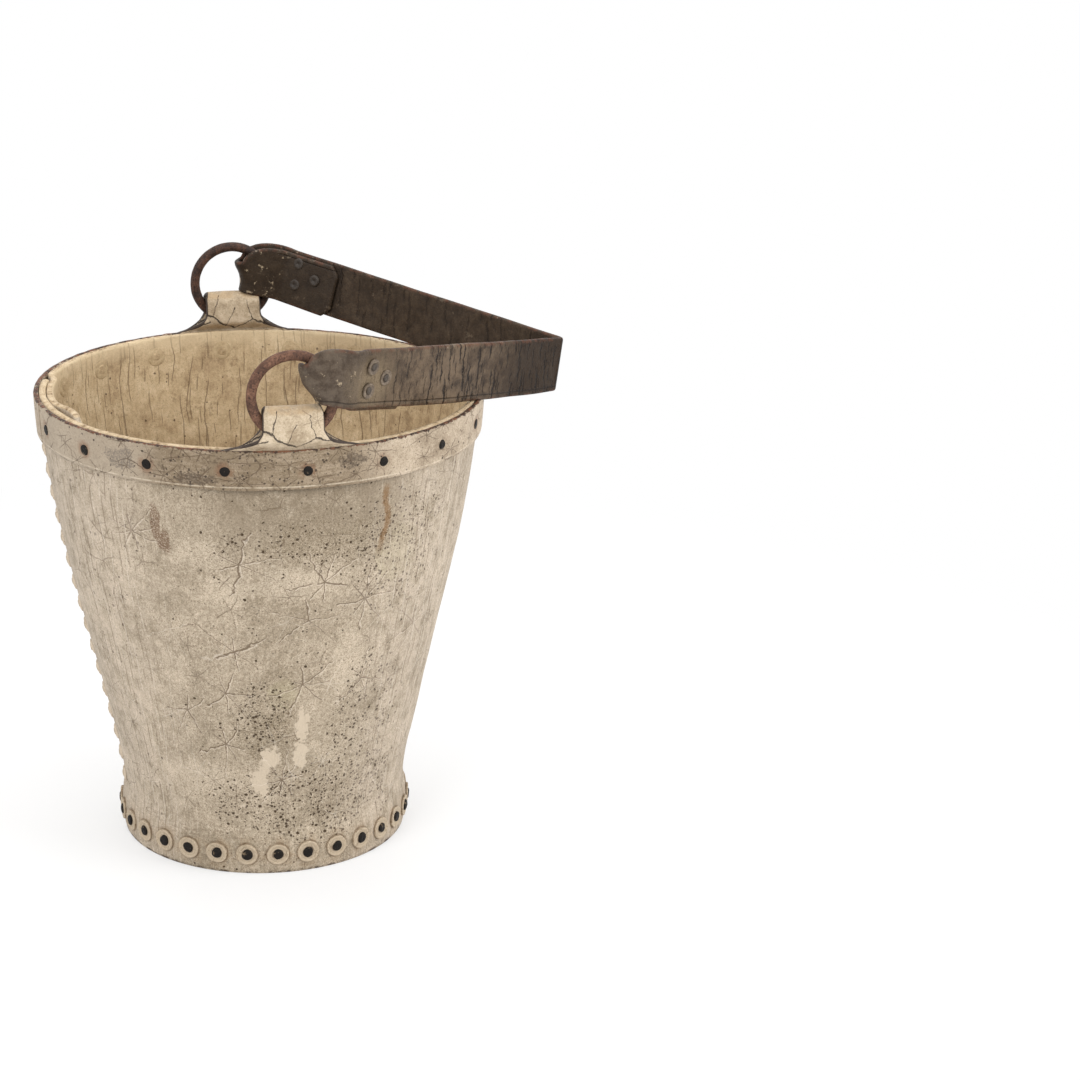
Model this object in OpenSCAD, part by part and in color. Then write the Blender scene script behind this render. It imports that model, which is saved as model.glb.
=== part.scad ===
/* [Bucket body] */
// Diameter across the mouth, over the rim band
mouth_d = 290; // [250:1:330]
// Diameter of the foot at the floor
foot_d = 188; // [170:1:210]
// Height of the standing bucket
height = 304; // [280:1:340]
// Thickness of the body leather
leather_t = 4.7; // [3.5:0.1:5.5]
// How far the waist above the foot is drawn in from the foot
waist_in = 0.6; // [0.2:0.1:3]
// Height of the waist
waist_z = 33; // [28:1:38]
// How far the moulded foot swells out below the waist
foot_bulge = 1.8; // [0.5:0.1:3]
// Length over which the wall leaves the waist upright
waist_pull = 42; // [20:1:70]
// Length over which the wall comes upright to the mouth
mouth_pull = 90; // [60:1:120]

/* [Side seam] */
// Width of the lap that the free inner end of the sheet makes, in degrees
lap_angle = 40; // [30:1:50]
// Bend in which the sheet steps in under the lap, in degrees
joggle_angle = 6; // [4:0.5:8]
// Number of rivets up the seam
seam_rivet_n = 16; // [10:1:18]
// Height of the lowest seam rivet
seam_rivet_z = 38; // [34:1:46]

/* [Base] */
// Height of the bucket's floor over the standing edge, at its top face
floor_z = 27; // [24:0.5:30]
// Thickness of the base leather
base_t = 5; // [4:0.1:6]
// Rise of the base flange off the ground
flange_lift = 1; // [0.5:0.1:2]
// Number of rivets round the base
base_rivet_n = 30; // [20:1:34]
// Height of the base rivets
base_rivet_z = 14.5; // [12:0.5:15]

/* [Rim band] */
// Height of the rim band
band_h = 26.5; // [22:0.5:34]
// Thickness of the rim band
band_t = 3; // [2.6:0.1:4]
// Half width of the skived lap in the band, in degrees
band_lap = 9; // [6:0.5:9]
// Number of rivets round the rim
rim_rivet_n = 18; // [14:1:20]
// Angle of one rim rivet past the front tab's middle
rim_rivet_turn = 3.5; // [2:0.5:5]

/* [Tabs] */
// Width of a tab at its top
tab_top_w = 32.4; // [28:0.2:34]
// Width of a tab where it enters the rim
tab_foot_w = 93; // [80:1:100]
// Thickness of each ply of a tab
tab_t = 3; // [2.4:0.1:3.4]
// Thickness of each ply where it is skived under the band
tab_skive = 1.5; // [1:0.1:1.6]
// Rise of a tab over the rim
tab_rise = 26.5; // [24:0.5:30]
// Rise over the rim at which a tab starts to flare
neck_rise = 13.5; // [10:0.5:15]
// Length of a tab's tongue under the band
tongue_h = 22; // [18:0.5:22]

/* [Rings] */
// Outside diameter of a ring
ring_d = 56.6; // [54:0.1:60]
// Thickness of the ring's wire
wire_d = 6.4; // [5:0.1:6.6]
// Room round the wire in a tab's loop
loop_room = 1.7; // [1.7:0.1:2.2]

/* [Handle strap] */
// Width of the strap
strap_w = 36; // [30:0.5:40]
// Thickness of the strap
strap_t = 3.8; // [3:0.1:4.2]
// Reach of the strap's crease from the line of the rings
strap_reach = 198; // [190:1:220]
// Height of the strap's lower edge against the line of the rings
strap_low = -1; // [-1:0.1:2]
// Room round the wire in the strap's loop
wire_room = 0.5; // [0.4:0.05:0.8]
// Angle round the ring to which the strap's fold reaches
fold_stop = 87; // [80:1:87]
// Radius at which the strap turns off the ring's plane
bend_r = 18; // [14:1:22]
// Length along the strap of the front turned-back end
front_flap = 92; // [84:1:110]
// Length along the strap of the back turned-back end
back_flap = 78; // [76:1:110]
// Cut across the corners of a turned-back end
flap_cut = 6; // [3:0.5:9]
// Gap between the resting strap and the rim
rest_gap = 0.6; // [0.4:0.1:1.5]

/* [Rivets] */
// Diameter of the shank of the body's rivets
shank_d = 3.2; // [2.6:0.1:3.6]
// Diameter of the small heads and hammered tails
tail_d = 6.4; // [5:0.1:7]
// Height of the small heads and hammered tails
tail_h = 1.2; // [0.8:0.1:1.6]
// Diameter of the large flat heads
head_d = 12; // [9:0.1:13]
// Height of the large flat heads
head_h = 1.2; // [0.8:0.1:1.6]
// Diameter of the washers round the rim and the seam
rove_d = 13; // [10:0.1:14]
// Diameter of the washers round the base
base_rove_d = 14.6; // [12:0.1:16]
// Thickness of the washers
rove_t = 1.2; // [0.8:0.1:1.6]
// Diameter of the shank of the strap's rivets
strap_shank_d = 2.8; // [2.2:0.1:3.2]
// Diameter of the strap's washers
strap_rove_d = 10; // [8:0.1:11]
// Distance along the strap of the pair of rivets next to a ring
strap_rivet_s = 47; // [46:0.5:50]
// Distance along the strap from that pair to the third rivet
strap_rivet_step = 15; // [13:0.5:17]
// Distance of the pair of rivets from the middle of the strap
strap_rivet_side = 7.5; // [6.5:0.1:9]

/* [Hidden] */
$fn = 96;

// Clearances: between two plies of leather, and round a shank in its hole
ply_gap = 0.2;
hole_gap = 0.1;

// The body's outer face: a moulded foot, then one long curve from the waist to the mouth
foot_r = foot_d / 2;
waist_r = foot_r - waist_in;
mouth_r = mouth_d / 2 - band_t - ply_gap;
foot_steps = 6;
wall_steps = 14;
function foot_point(t) = [foot_r - waist_in * t + foot_bulge * sin(180 * t), waist_z * t];
function bezier(a, b, c, d, t) =
  pow(1 - t, 3) * a + 3 * pow(1 - t, 2) * t * b + 3 * (1 - t) * t * t * c + pow(t, 3) * d;
function wall_point(t) = bezier(
  [waist_r, waist_z], [waist_r + waist_pull / 40, waist_z + waist_pull],
  [mouth_r - mouth_pull / 45, height - mouth_pull], [mouth_r, height], t
);
wall = concat(
  [for (i = [0:foot_steps]) foot_point(i / foot_steps)],
  [for (i = [1:wall_steps]) wall_point(i / wall_steps)]
);
function wall_r(z) = lookup(z, [for (p = wall) [p[1], p[0]]]);
function wall_tilt(z) = atan2(wall_r(z + 2) - wall_r(z - 2), 4);

// Angles round the bucket: the front tab faces -Y and the seam faces -X
front_az = 270;
back_az = 90;
seam_az = 180;
lap_start = seam_az - 14;
lap_end = lap_start + lap_angle;
edge_angle = 1;
lap_bottom = floor_z + 1.5;
lap_depth = 2 * leather_t + ply_gap;

// Base
flange_depth = leather_t + ply_gap;

// Rim band and what lies under it
band_face = band_t + ply_gap;
band_middle = ply_gap + band_t / 2;
band_z = height - band_h;
rim_rivet_z = height - band_h * 0.53;
tongue_middle = -ply_gap / 2;
tongue_depth = tab_skive + ply_gap;
tab_half_angle = asin(tab_foot_w / 2 / mouth_r);
pocket_half_angle = tab_half_angle + 0.5;

// Rings: the wire hangs clear of the rim in the tabs' loops
ring_r = (ring_d - wire_d) / 2;
ring_y = mouth_r;
loop_r = wire_d / 2 + loop_room;
loop_low = height + wire_d / 2 + 4.3;
loop_high = height + tab_rise - tab_t - loop_r;
ring_z = loop_low + ring_r - 0.1;

// Handle: seen from above it is a V, from one ring out to the crease and back to the other ring
fold_in = wire_d / 2 + wire_room;
fold_out = fold_in + strap_t;
lead = ring_r + wire_d / 2 - 1;
fold_skin = 0.05;
strap_start = ring_r * cos(fold_stop) - 2 * fold_skin;
turn_x = strap_reach - lead;
turn_y = ring_y - bend_r;
v_angle = atan2(turn_y, turn_x) + asin(bend_r / norm([turn_x, turn_y]));
bend_len = bend_r * v_angle * PI / 180;
straight_len = sqrt(turn_x * turn_x + turn_y * turn_y - bend_r * bend_r);
join_len = 14;
ply_pitch = strap_t + ply_gap;
function heading(s) = s < lead ? 0 : min(v_angle, (s - lead) / bend_r * 180 / PI);
function path(s) =
  s < lead ? [s, -ring_y]
  : s < lead + bend_len ? [lead, bend_r - ring_y] + bend_r * [sin(heading(s)), -cos(heading(s))]
  : [lead + bend_r * sin(v_angle), bend_r - ring_y - bend_r * cos(v_angle)]
    + (s - lead - bend_len) * [cos(v_angle), sin(v_angle)];
function joined(s) = (1 - cos(180 * max(0, min(1, (s - lead) / join_len)))) / 2;
function outer_ply(s) = (fold_in + strap_t / 2) * (1 - joined(s));
function inner_ply(s) = -(fold_in + strap_t / 2) * (1 - joined(s)) - ply_pitch * joined(s);
function beside(s, off) = path(s) + off * [sin(heading(s)), -cos(heading(s))];
function stations(to) = concat(
  [strap_start, lead / 2], [for (i = [0:10]) lead + join_len * i / 10], [lead + join_len + 6, to]
);
function across(p) = [p[0], -p[1]];
function reversed(list) = [for (i = [len(list) - 1:-1:0]) list[i]];

// The strap lies on the rim: its lower edge crosses the band's outer edge at rim_x
strap_r = mouth_d / 2 + strap_t;
strap_foot = path(lead + bend_len);
cross_b = strap_foot[0] * cos(v_angle) + strap_foot[1] * sin(v_angle);
cross_c = pow(strap_foot[0], 2) + pow(strap_foot[1], 2) - strap_r * strap_r;
rim_x = strap_foot[0] + (sqrt(cross_b * cross_b - cross_c) - cross_b) * cos(v_angle);
handle_drop = atan2(strap_low, rim_x)
  + asin((ring_z - height - rest_gap) / norm([rim_x, strap_low]));

// Rivet angles and heights
function rim_az(i) = front_az + rim_rivet_turn + i * 360 / rim_rivet_n;
function base_az(i) = seam_az + 3 + i * 360 / base_rivet_n;
function seam_z(i) =
  seam_rivet_z + i * (band_z - rove_d / 2 - 3 - seam_rivet_z) / (seam_rivet_n - 1);
function apart(a, b) = abs((a - b + 540) % 360 - 180);
function in_lap(a) = apart(a, lap_start + lap_angle / 2) < lap_angle / 2 + joggle_angle / 2;
function all_rim() = [for (i = [0:rim_rivet_n - 1]) rim_az(i)];
function tab_rim(tab_az) = [for (a = all_rim()) if (apart(a, tab_az) < tab_half_angle - 1.5) a];
function plain_rim() = [
  for (a = all_rim()) if (min(apart(a, front_az), apart(a, back_az)) >= tab_half_angle - 1.5) a
];
function rim_depth(a) = in_lap(a) ? lap_depth : leather_t;
function rim_grip(a) = rim_depth(a) + band_face + sink(rove_d, rim_rivet_z, rim_depth(a));
// A flat washer inside the hollow wall stands off by the wall's rise round it or up it
function rise_round(d, r) = d * d / 8 / (r - 1);
function rise_up(d, z) = max(0, wall_r(z) - (wall_r(z - d / 2) + wall_r(z + d / 2)) / 2);
function sink(d, z, depth) = max(rise_round(d, wall_r(z) - depth), rise_up(d, z)) + hole_gap;

// Layer of leather between two depths under the body's outer face
module wall_section(from_depth, to_depth, z0, z1) {
  levels = concat([z0], [for (p = wall) if (p[1] > z0 + 0.5 && p[1] < z1 - 0.5) p[1]], [z1]);
  polygon(concat(
    [for (z = levels) [wall_r(z) - from_depth, z]],
    [for (z = reversed(levels)) [wall_r(z) - to_depth, z]]
  ));
}

module wall_sector(from_az, to_az, from_depth, to_depth, z0, z1)
  rotate([0, 0, from_az])
    rotate_extrude(angle = to_az - from_az)
      wall_section(from_depth, to_depth, z0, z1);

// Places children with +Z out along the wall's normal, at a depth under the outer face
module on_wall(az, z, depth)
  rotate([0, 0, az])
    translate([wall_r(z) - depth, 0, z])
      rotate([0, 90 + wall_tilt(z), 0])
        children();

module shank_hole(d = shank_d) cylinder(h = 60, d = d + 2 * hole_gap, center = true, $fn = 24);

module washer(d, hole_d)
  difference() {
    cylinder(h = rove_t, d = d);
    cylinder(h = 4 * rove_t, d = hole_d + 2 * hole_gap, center = true, $fn = 24);
  }

// Small head outside, hammered tail inside past a washer; the grip runs down from Z = 0
module tail(d) cylinder(h = tail_h, d1 = d, d2 = 0.7 * d, $fn = 32);
module shank(d, grip) translate([0, 0, -grip]) cylinder(h = grip, d = d, $fn = 24);

module seam_holes()
  for (i = [0:seam_rivet_n - 1])
    on_wall(seam_az, seam_z(i), 0) shank_hole();
module rim_holes()
  for (a = all_rim())
    on_wall(a, rim_rivet_z, 0) shank_hole();
module base_holes()
  for (i = [0:base_rivet_n - 1])
    on_wall(base_az(i), base_rivet_z, 0) shank_hole();

// Room for a tab's skived tongue, cut in the body or in the band
module tab_pocket(from_depth, to_depth)
  for (az = [front_az, back_az])
    wall_sector(
      az - pocket_half_angle, az + pocket_half_angle,
      from_depth, to_depth, height - tongue_h - 1, height + 1
    );

// Body: one sheet closed by a riveted side seam, its inner end left free inside
module body_sheet()
  color("#b9b09c")
    difference() {
      union() {
        wall_sector(lap_start, lap_start + 360 - edge_angle, 0, leather_t, 0, height);
        wall_sector(
          lap_start - joggle_angle - edge_angle, lap_end,
          leather_t + ply_gap, lap_depth, lap_bottom, height
        );
        wall_sector(
          lap_start - joggle_angle - edge_angle / 2, lap_start - 1.5 * edge_angle,
          leather_t / 2, leather_t * 1.5, lap_bottom, height
        );
      }
      tab_pocket(-1, tongue_middle + tongue_depth);
      seam_holes();
      rim_holes();
      base_holes();
    }

// Base: a leather disc with its edge turned down inside the foot
module base_disc()
  color("#8a7658")
    difference() {
      union() {
        rotate_extrude()
          translate([0, floor_z - base_t])
            square([wall_r(floor_z) - flange_depth - base_t / 2, base_t]);
        wall_sector(0, 360, flange_depth, flange_depth + base_t, flange_lift, floor_z);
      }
      base_holes();
    }

// Rim band: a strip round the mouth, its skived ends lapped over the seam
module rim_band()
  color("#c9bf9f")
    difference() {
      wall_sector(0, 360, -band_face, -ply_gap, band_z, height);
      wall_sector(
        seam_az - band_lap + edge_angle / 8, seam_az + band_lap - edge_angle / 8,
        -band_middle - ply_gap / 2, -band_middle + ply_gap / 2, band_z - 1, height + 1
      );
      wall_sector(
        seam_az + band_lap - edge_angle / 4, seam_az + band_lap,
        -band_face - 1, -band_middle, band_z - 1, height + 1
      );
      wall_sector(
        seam_az - band_lap, seam_az - band_lap + edge_angle / 4,
        -band_middle, 0, band_z - 1, height + 1
      );
      tab_pocket(tongue_middle - tongue_depth, 1);
      rim_holes();
    }

// Tab: a strip folded over a ring, with both plies skived and tucked under the band
module tab_side() {
  flare_x = (tab_foot_w - tab_top_w) / 2;
  flare_z = neck_rise - 1;
  right = concat(
    [[tab_foot_w / 2, -tongue_h], [tab_foot_w / 2, 1]],
    [for (a = [15:15:90]) [tab_foot_w / 2 - flare_x * sin(a), neck_rise - flare_z * cos(a)]],
    [[tab_top_w / 2, tab_rise - 4], [tab_top_w / 2 - 3, tab_rise + 1]]
  );
  polygon(concat(right, [for (p = reversed(right)) [-p[0], p[1]]]));
}

// A loop in the strip's section: a round top on two sides that draw in to the rim
function loop_points(r) = concat(
  [[ring_y + r, loop_low]],
  [for (a = [0:12:180]) [ring_y + r * cos(a), loop_high + r * sin(a)]],
  [[ring_y - r, loop_low]]
);
function tongue_side(side) = [
  for (z = [height - tongue_h, height - tongue_h / 2, height])
    [wall_r(z) - tongue_middle + side * tab_skive, z]
];

module tab(az)
  rotate([0, 0, az])
    difference() {
      intersection() {
        rotate([0, 0, -2 * tab_half_angle])
          rotate_extrude(angle = 4 * tab_half_angle)
            difference() {
              polygon(concat(
                tongue_side(1), loop_points(loop_r + tab_t), reversed(tongue_side(-1))
              ));
              polygon(concat(loop_points(loop_r), [[ring_y, height + 0.3]]));
            }
        translate([0, 0, height])
          rotate([90, 0, 90])
            linear_extrude(height = 2 * mouth_r)
              tab_side();
      }
      rotate([0, 0, -az]) rim_holes();
    }

module front_tab() color("#b5ab90") tab(front_az);
module back_tab() color("#b5ab90") tab(back_az);

// Rings: round iron wire, welded closed
module ring(side)
  translate([0, side * ring_y, ring_z])
    rotate([90, 0, 0])
      rotate_extrude()
        translate([ring_r, 0]) circle(d = wire_d, $fn = 48);

module front_ring() color("#5a4436") ring(-1);
module back_ring() color("#5a4436") ring(1);

// Handle: one strap, each end folded through its ring, turned back and riveted to itself
// Section of the fold: half round on the wire's inner side, straight for a length beyond it
module fold_section(r, beyond)
  polygon(concat(
    [for (a = [90:7.5:270]) [ring_r + r * cos(a), r * sin(a)]],
    [[ring_r + beyond, -r], [ring_r + beyond, r]]
  ));

module fold_round_wire()
  intersection() {
    translate([0, -ring_y, 0])
      rotate([90, 0, 0])
        rotate([0, 0, -20])
          rotate_extrude(angle = fold_stop + 20)
            difference() {
              fold_section(fold_out - fold_skin, 1);
              fold_section(fold_in + fold_skin, 2);
            }
    translate([0, -mouth_d, strap_low + fold_skin])
      cube([strap_reach, 2 * mouth_d, strap_w - 2 * fold_skin]);
  }

module flap(length)
  intersection() {
    translate([0, 0, strap_low])
      linear_extrude(height = strap_w)
        polygon(concat(
          [for (s = stations(length)) beside(s, inner_ply(s) + strap_t / 2)],
          [for (s = reversed(stations(length))) beside(s, inner_ply(s) - strap_t / 2)]
        ));
    rotate([90, 0, 0])
      linear_extrude(height = 2 * ring_y)
        polygon([
          [0, strap_low], [path(length)[0] - flap_cut, strap_low],
          [path(length)[0] + 1, strap_low + flap_cut],
          [path(length)[0] + 1, strap_low + strap_w - flap_cut],
          [path(length)[0] - flap_cut, strap_low + strap_w], [0, strap_low + strap_w]
        ]);
  }

module strap_v() {
  end = lead + bend_len + straight_len - strap_t;
  outer = [for (s = stations(end)) beside(s, outer_ply(s) + strap_t / 2)];
  inner = [for (s = stations(end)) beside(s, outer_ply(s) - strap_t / 2)];
  reach = strap_t / 2 / sin(v_angle);
  blunt = strap_t / 3;
  tip = [strap_reach + reach - blunt / tan(v_angle), -blunt];
  translate([0, 0, strap_low])
    linear_extrude(height = strap_w)
      polygon(concat(
        outer, [tip, across(tip)], [for (p = reversed(outer)) across(p)],
        [for (p = inner) across(p)], [[strap_reach - reach, 0]], reversed(inner)
      ));
}

// Places children on the strap's outer face, +Z out of it, at each of an end's three rivets
module on_strap(side)
  handle_place()
    for (p = [[0, -1], [0, 1], [1, 0]]) {
      s = strap_rivet_s + p[0] * strap_rivet_step;
      spot = beside(s, strap_t / 2);
      mirror([0, side > 0 ? 1 : 0, 0])
        translate([spot[0], spot[1], strap_low + strap_w / 2 + p[1] * strap_rivet_side])
          rotate([90, 0, v_angle])
            children();
    }

module handle_place()
  translate([0, 0, ring_z])
    rotate([0, handle_drop, 0])
      children();

module handle_strap()
  color("#3d332c")
    difference() {
      handle_place()
        union() {
          difference() {
            union() {
              strap_v();
              flap(front_flap);
              mirror([0, 1, 0]) flap(back_flap);
            }
            rotate([90, 0, 0]) cylinder(h = 3 * ring_y, r = ring_r, center = true);
          }
          fold_round_wire();
          mirror([0, 1, 0]) fold_round_wire();
        }
      for (side = [-1, 1])
        on_strap(side) shank_hole(strap_shank_d);
    }

// Rim rivets: small head outside, washer and hammered tail inside
module rim_rivet(az)
  on_wall(az, rim_rivet_z, 0)
    translate([0, 0, band_face]) {
      shank(shank_d, rim_grip(az) + rove_t);
      tail(tail_d);
      translate([0, 0, -rim_grip(az) - rove_t]) mirror([0, 0, 1]) tail(tail_d);
    }

module rim_rivets() color("#33302b") for (a = plain_rim()) rim_rivet(a);
module front_tab_rivets() color("#33302b") for (a = tab_rim(front_az)) rim_rivet(a);
module back_tab_rivets() color("#33302b") for (a = tab_rim(back_az)) rim_rivet(a);
module rim_roves()
  color("#9b8f74")
    for (a = all_rim())
      on_wall(a, rim_rivet_z, 0)
        translate([0, 0, band_face - rim_grip(a) - rove_t]) washer(rove_d, shank_d);

// Base rivets: large flat head inside the foot, washer and hammered tail outside
base_grip = flange_depth + base_t + sink(head_d, base_rivet_z, flange_depth + base_t);
module base_rivets()
  color("#33302b")
    for (i = [0:base_rivet_n - 1])
      on_wall(base_az(i), base_rivet_z, 0) {
        translate([0, 0, rove_t]) {
          tail(tail_d);
          shank(shank_d, base_grip + rove_t);
        }
        translate([0, 0, -base_grip - head_h]) cylinder(h = head_h, d = head_d);
      }
module base_roves()
  color("#9b8f74")
    for (i = [0:base_rivet_n - 1])
      on_wall(base_az(i), base_rivet_z, 0) washer(base_rove_d, shank_d);

// Seam rivets: large flat head inside, washer and hammered tail outside
function seam_grip(i) =
  lap_depth * cos(wall_tilt(seam_z(i))) + sink(head_d, seam_z(i), lap_depth) + hole_gap;
module seam_rivets()
  color("#33302b")
    for (i = [0:seam_rivet_n - 1])
      on_wall(seam_az, seam_z(i), 0) {
        translate([0, 0, rove_t + 0.1]) {
          tail(tail_d * 0.8);
          shank(shank_d, seam_grip(i) + rove_t + 0.1);
        }
        translate([0, 0, -seam_grip(i) - head_h]) cylinder(h = head_h, d = head_d);
      }
module seam_roves()
  color("#9b8f74")
    for (i = [0:seam_rivet_n - 1])
      on_wall(seam_az, seam_z(i), 0)
        translate([0, 0, 0.1]) washer(rove_d * 0.8, shank_d);

// Strap rivets: washer and hammered tail on the outer face, flat head on the turned-back end
strap_grip = strap_t + ply_pitch;
strap_head_d = strap_rove_d * 0.8;
module strap_rivets(side)
  on_strap(side) {
    translate([0, 0, rove_t]) {
      tail(strap_shank_d * 1.8);
      shank(strap_shank_d, strap_grip + rove_t);
    }
    translate([0, 0, -strap_grip - head_h]) cylinder(h = head_h, d = strap_head_d);
  }
module strap_roves(side) on_strap(side) washer(strap_rove_d, strap_shank_d);

module front_strap_rivets() color("#4a3a30") strap_rivets(-1);
module back_strap_rivets() color("#4a3a30") strap_rivets(1);
module front_strap_roves() color("#6b5a4a") strap_roves(-1);
module back_strap_roves() color("#6b5a4a") strap_roves(1);

body_sheet();
base_disc();
rim_band();
front_tab();
back_tab();
front_ring();
back_ring();
handle_strap();
rim_rivets();
front_tab_rivets();
back_tab_rivets();
rim_roves();
base_rivets();
base_roves();
seam_rivets();
seam_roves();
front_strap_rivets();
front_strap_roves();
back_strap_rivets();
back_strap_roves();
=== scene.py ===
import math
import random

import bmesh
import bpy
from mathutils import Matrix, Vector


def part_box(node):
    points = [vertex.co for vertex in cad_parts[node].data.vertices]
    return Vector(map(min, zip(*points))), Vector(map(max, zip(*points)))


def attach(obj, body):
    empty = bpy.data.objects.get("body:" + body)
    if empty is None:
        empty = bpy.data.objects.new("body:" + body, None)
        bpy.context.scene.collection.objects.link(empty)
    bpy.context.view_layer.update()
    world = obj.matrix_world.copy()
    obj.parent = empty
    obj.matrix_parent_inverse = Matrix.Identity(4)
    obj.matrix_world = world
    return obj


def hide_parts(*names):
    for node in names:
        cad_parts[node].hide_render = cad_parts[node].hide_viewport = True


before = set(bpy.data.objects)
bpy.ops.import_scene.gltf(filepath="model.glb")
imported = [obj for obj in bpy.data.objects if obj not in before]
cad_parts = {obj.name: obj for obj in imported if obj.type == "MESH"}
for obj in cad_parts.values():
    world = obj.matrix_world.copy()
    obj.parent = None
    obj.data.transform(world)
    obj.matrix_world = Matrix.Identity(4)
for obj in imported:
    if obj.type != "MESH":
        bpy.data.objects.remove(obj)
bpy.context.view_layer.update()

# Body sheet: one thick hide cut to a fan, wrapped wet round a block and lapped up its left side.
# The foot is moulded out over the base, the inner end of the lap curls off the wall, and the
# whole is painted cream, now greyed, pitted and cracked in stars.
hide_thick = 0.0047
ply_gap = 0.0002
foot_r = 0.094
waist_in = 0.0006
waist_z = 0.033
foot_bulge = 0.0018
waist_pull = 0.042
mouth_pull = 0.090
rim_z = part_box("body_sheet")[1].z
mouth_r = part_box("body_sheet")[1].x
waist_r = foot_r - waist_in
seam_az = 180
lap_start = seam_az - 14
lap_turn = 40
joggle = 6
base_rivets = 30
base_step = 360 / base_rivets
base_turn = 3
base_rivet_z = 0.0145
lap_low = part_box("base_disc")[1].z + 0.0015
tab_bed = 0.0016
curl_lift = 0.0046
curl_from = 19
curl_full = 9


def foot_point(t):
    return waist_z * t, foot_r - waist_in * t + foot_bulge * math.sin(math.pi * t)


def wall_point(t):
    shares = ((1 - t) ** 3, 3 * (1 - t) ** 2 * t, 3 * (1 - t) * t * t, t ** 3)
    heights = (waist_z, waist_z + waist_pull, rim_z - mouth_pull, rim_z)
    radii = (waist_r, waist_r + waist_pull / 40, mouth_r - mouth_pull / 45, mouth_r)
    return sum(s * z for s, z in zip(shares, heights)), sum(s * r for s, r in zip(shares, radii))


wall_line = [foot_point(i / 6) for i in range(7)] + [wall_point(i / 14) for i in range(1, 15)]


def wall_r(z):
    """Radius of the wall's outer face at a height."""
    for (z0, r0), (z1, r1) in zip(wall_line, wall_line[1:]):
        if z <= z1:
            return r0 + (r1 - r0) * (z - z0) / (z1 - z0)
    return mouth_r


def add_node(tree, kind, inputs=(), **settings):
    """Adds a node to a tree, sets it up and joins or sets its inputs."""
    made = tree.nodes.new(kind)
    for name, value in settings.items():
        setattr(made, name, value)
    for key, value in dict(inputs).items():
        value = value.socket if isinstance(value, Field) else value
        if isinstance(value, bpy.types.NodeSocket):
            tree.links.new(value, made.inputs[key])
        else:
            made.inputs[key].default_value = value
    return made


class Field:
    """A number that varies over a surface, so that a tree's sums read as plain arithmetic."""

    def __init__(self, tree, socket):
        self.tree, self.socket = tree, socket

    def sum(self, operation, *others):
        inputs = {i: value for i, value in enumerate((self, *others))}
        made = add_node(self.tree, "ShaderNodeMath", inputs, operation=operation)
        return Field(self.tree, made.outputs[0])

    def __add__(self, other):
        return self.sum("ADD", other)

    def __radd__(self, other):
        return self.sum("ADD", other)

    def __sub__(self, other):
        return self.sum("SUBTRACT", other)

    def __mul__(self, other):
        return self.sum("MULTIPLY", other)

    def __rmul__(self, other):
        return self.sum("MULTIPLY", other)

    def __truediv__(self, other):
        return self.sum("DIVIDE", other)

    def __pow__(self, other):
        return self.sum("POWER", other)

    def __rsub__(self, other):
        return self * -1 + other

    def clamped(self):
        return self.sum("MAXIMUM", 0.0).sum("MINIMUM", 1.0)

    def cos(self):
        return self.sum("COSINE")

    def sin(self):
        return self.sum("SINE")

    def size(self):
        return self.sum("ABSOLUTE")

    def rise(self, low, high):
        """Goes smoothly from 0 at low to 1 at high."""
        made = add_node(
            self.tree, "ShaderNodeMapRange", {"Value": self, "From Min": low, "From Max": high},
            interpolation_type="SMOOTHSTEP",
        )
        return Field(self.tree, made.outputs[0])

    def fall(self, low, high):
        return 1 - self.rise(low, high)

    def hump(self, low, top, high):
        return self.rise(low, top) * self.fall(top, high)

    def squared_off(self, power=0.6):
        """Takes a sine to the flatter side of a square with round corners."""
        return self.sum("SIGN") * self.size() ** power


def joined(tree, x, y, z=0.0):
    """A vector from three numbers."""
    return add_node(tree, "ShaderNodeCombineXYZ", {0: x, 1: y, 2: z}).outputs[0]


def cloud(tree, where, size, detail=3.0, seed=0.0, rough=0.55):
    """Soft noise from 0 to 1 with lumps of about that size, in the units of `where`."""
    inputs = {
        "Vector": where, "W": seed, "Scale": 1 / size, "Detail": detail, "Roughness": rough,
    }
    return Field(tree, add_node(tree, "ShaderNodeTexNoise", inputs, noise_dimensions="4D").outputs[0])


def sized_tree(name, sizes, takes_mesh=False):
    """A Geometry Nodes tree that has a named input for each size of a piece."""
    tree = bpy.data.node_groups.new(name + "_nodes", "GeometryNodeTree")
    tree.interface.new_socket("Geometry", in_out="OUTPUT", socket_type="NodeSocketGeometry")
    if takes_mesh:
        tree.interface.new_socket("Geometry", in_out="INPUT", socket_type="NodeSocketGeometry")
    kinds = {int: "NodeSocketInt", float: "NodeSocketFloat", bpy.types.Object: "NodeSocketObject"}
    labels = {}
    for label, value in sizes.items():
        socket = tree.interface.new_socket(label, in_out="INPUT", socket_type=kinds[type(value)])
        labels[label] = socket.identifier
    given = tree.nodes.new("NodeGroupInput")
    return tree, {label: Field(tree, given.outputs[label]) for label in sizes}, labels


def grown(name, tree, labels, sizes, geometry, material, mesh=None):
    """Ends a tree with real, smooth faces in one material, and makes a plain piece with it."""
    smooth = add_node(tree, "GeometryNodeSetShadeSmooth", {"Geometry": geometry})
    real = add_node(tree, "GeometryNodeRealizeInstances", {"Geometry": smooth.outputs[0]})
    dressed = add_node(tree, "GeometryNodeSetMaterial", {"Geometry": real.outputs[0]})
    dressed.inputs["Material"].default_value = material
    leaving = tree.nodes.new("NodeGroupOutput")
    tree.links.new(dressed.outputs[0], leaving.inputs[0])
    piece = new_piece(name, mesh or bpy.data.meshes.new(name))
    modifier = piece.modifiers.new("grow", "NODES")
    modifier.node_group = tree
    for label, value in sizes.items():
        modifier[labels[label]] = value
    return made_plain(piece)


edge_steps = 4


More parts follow.
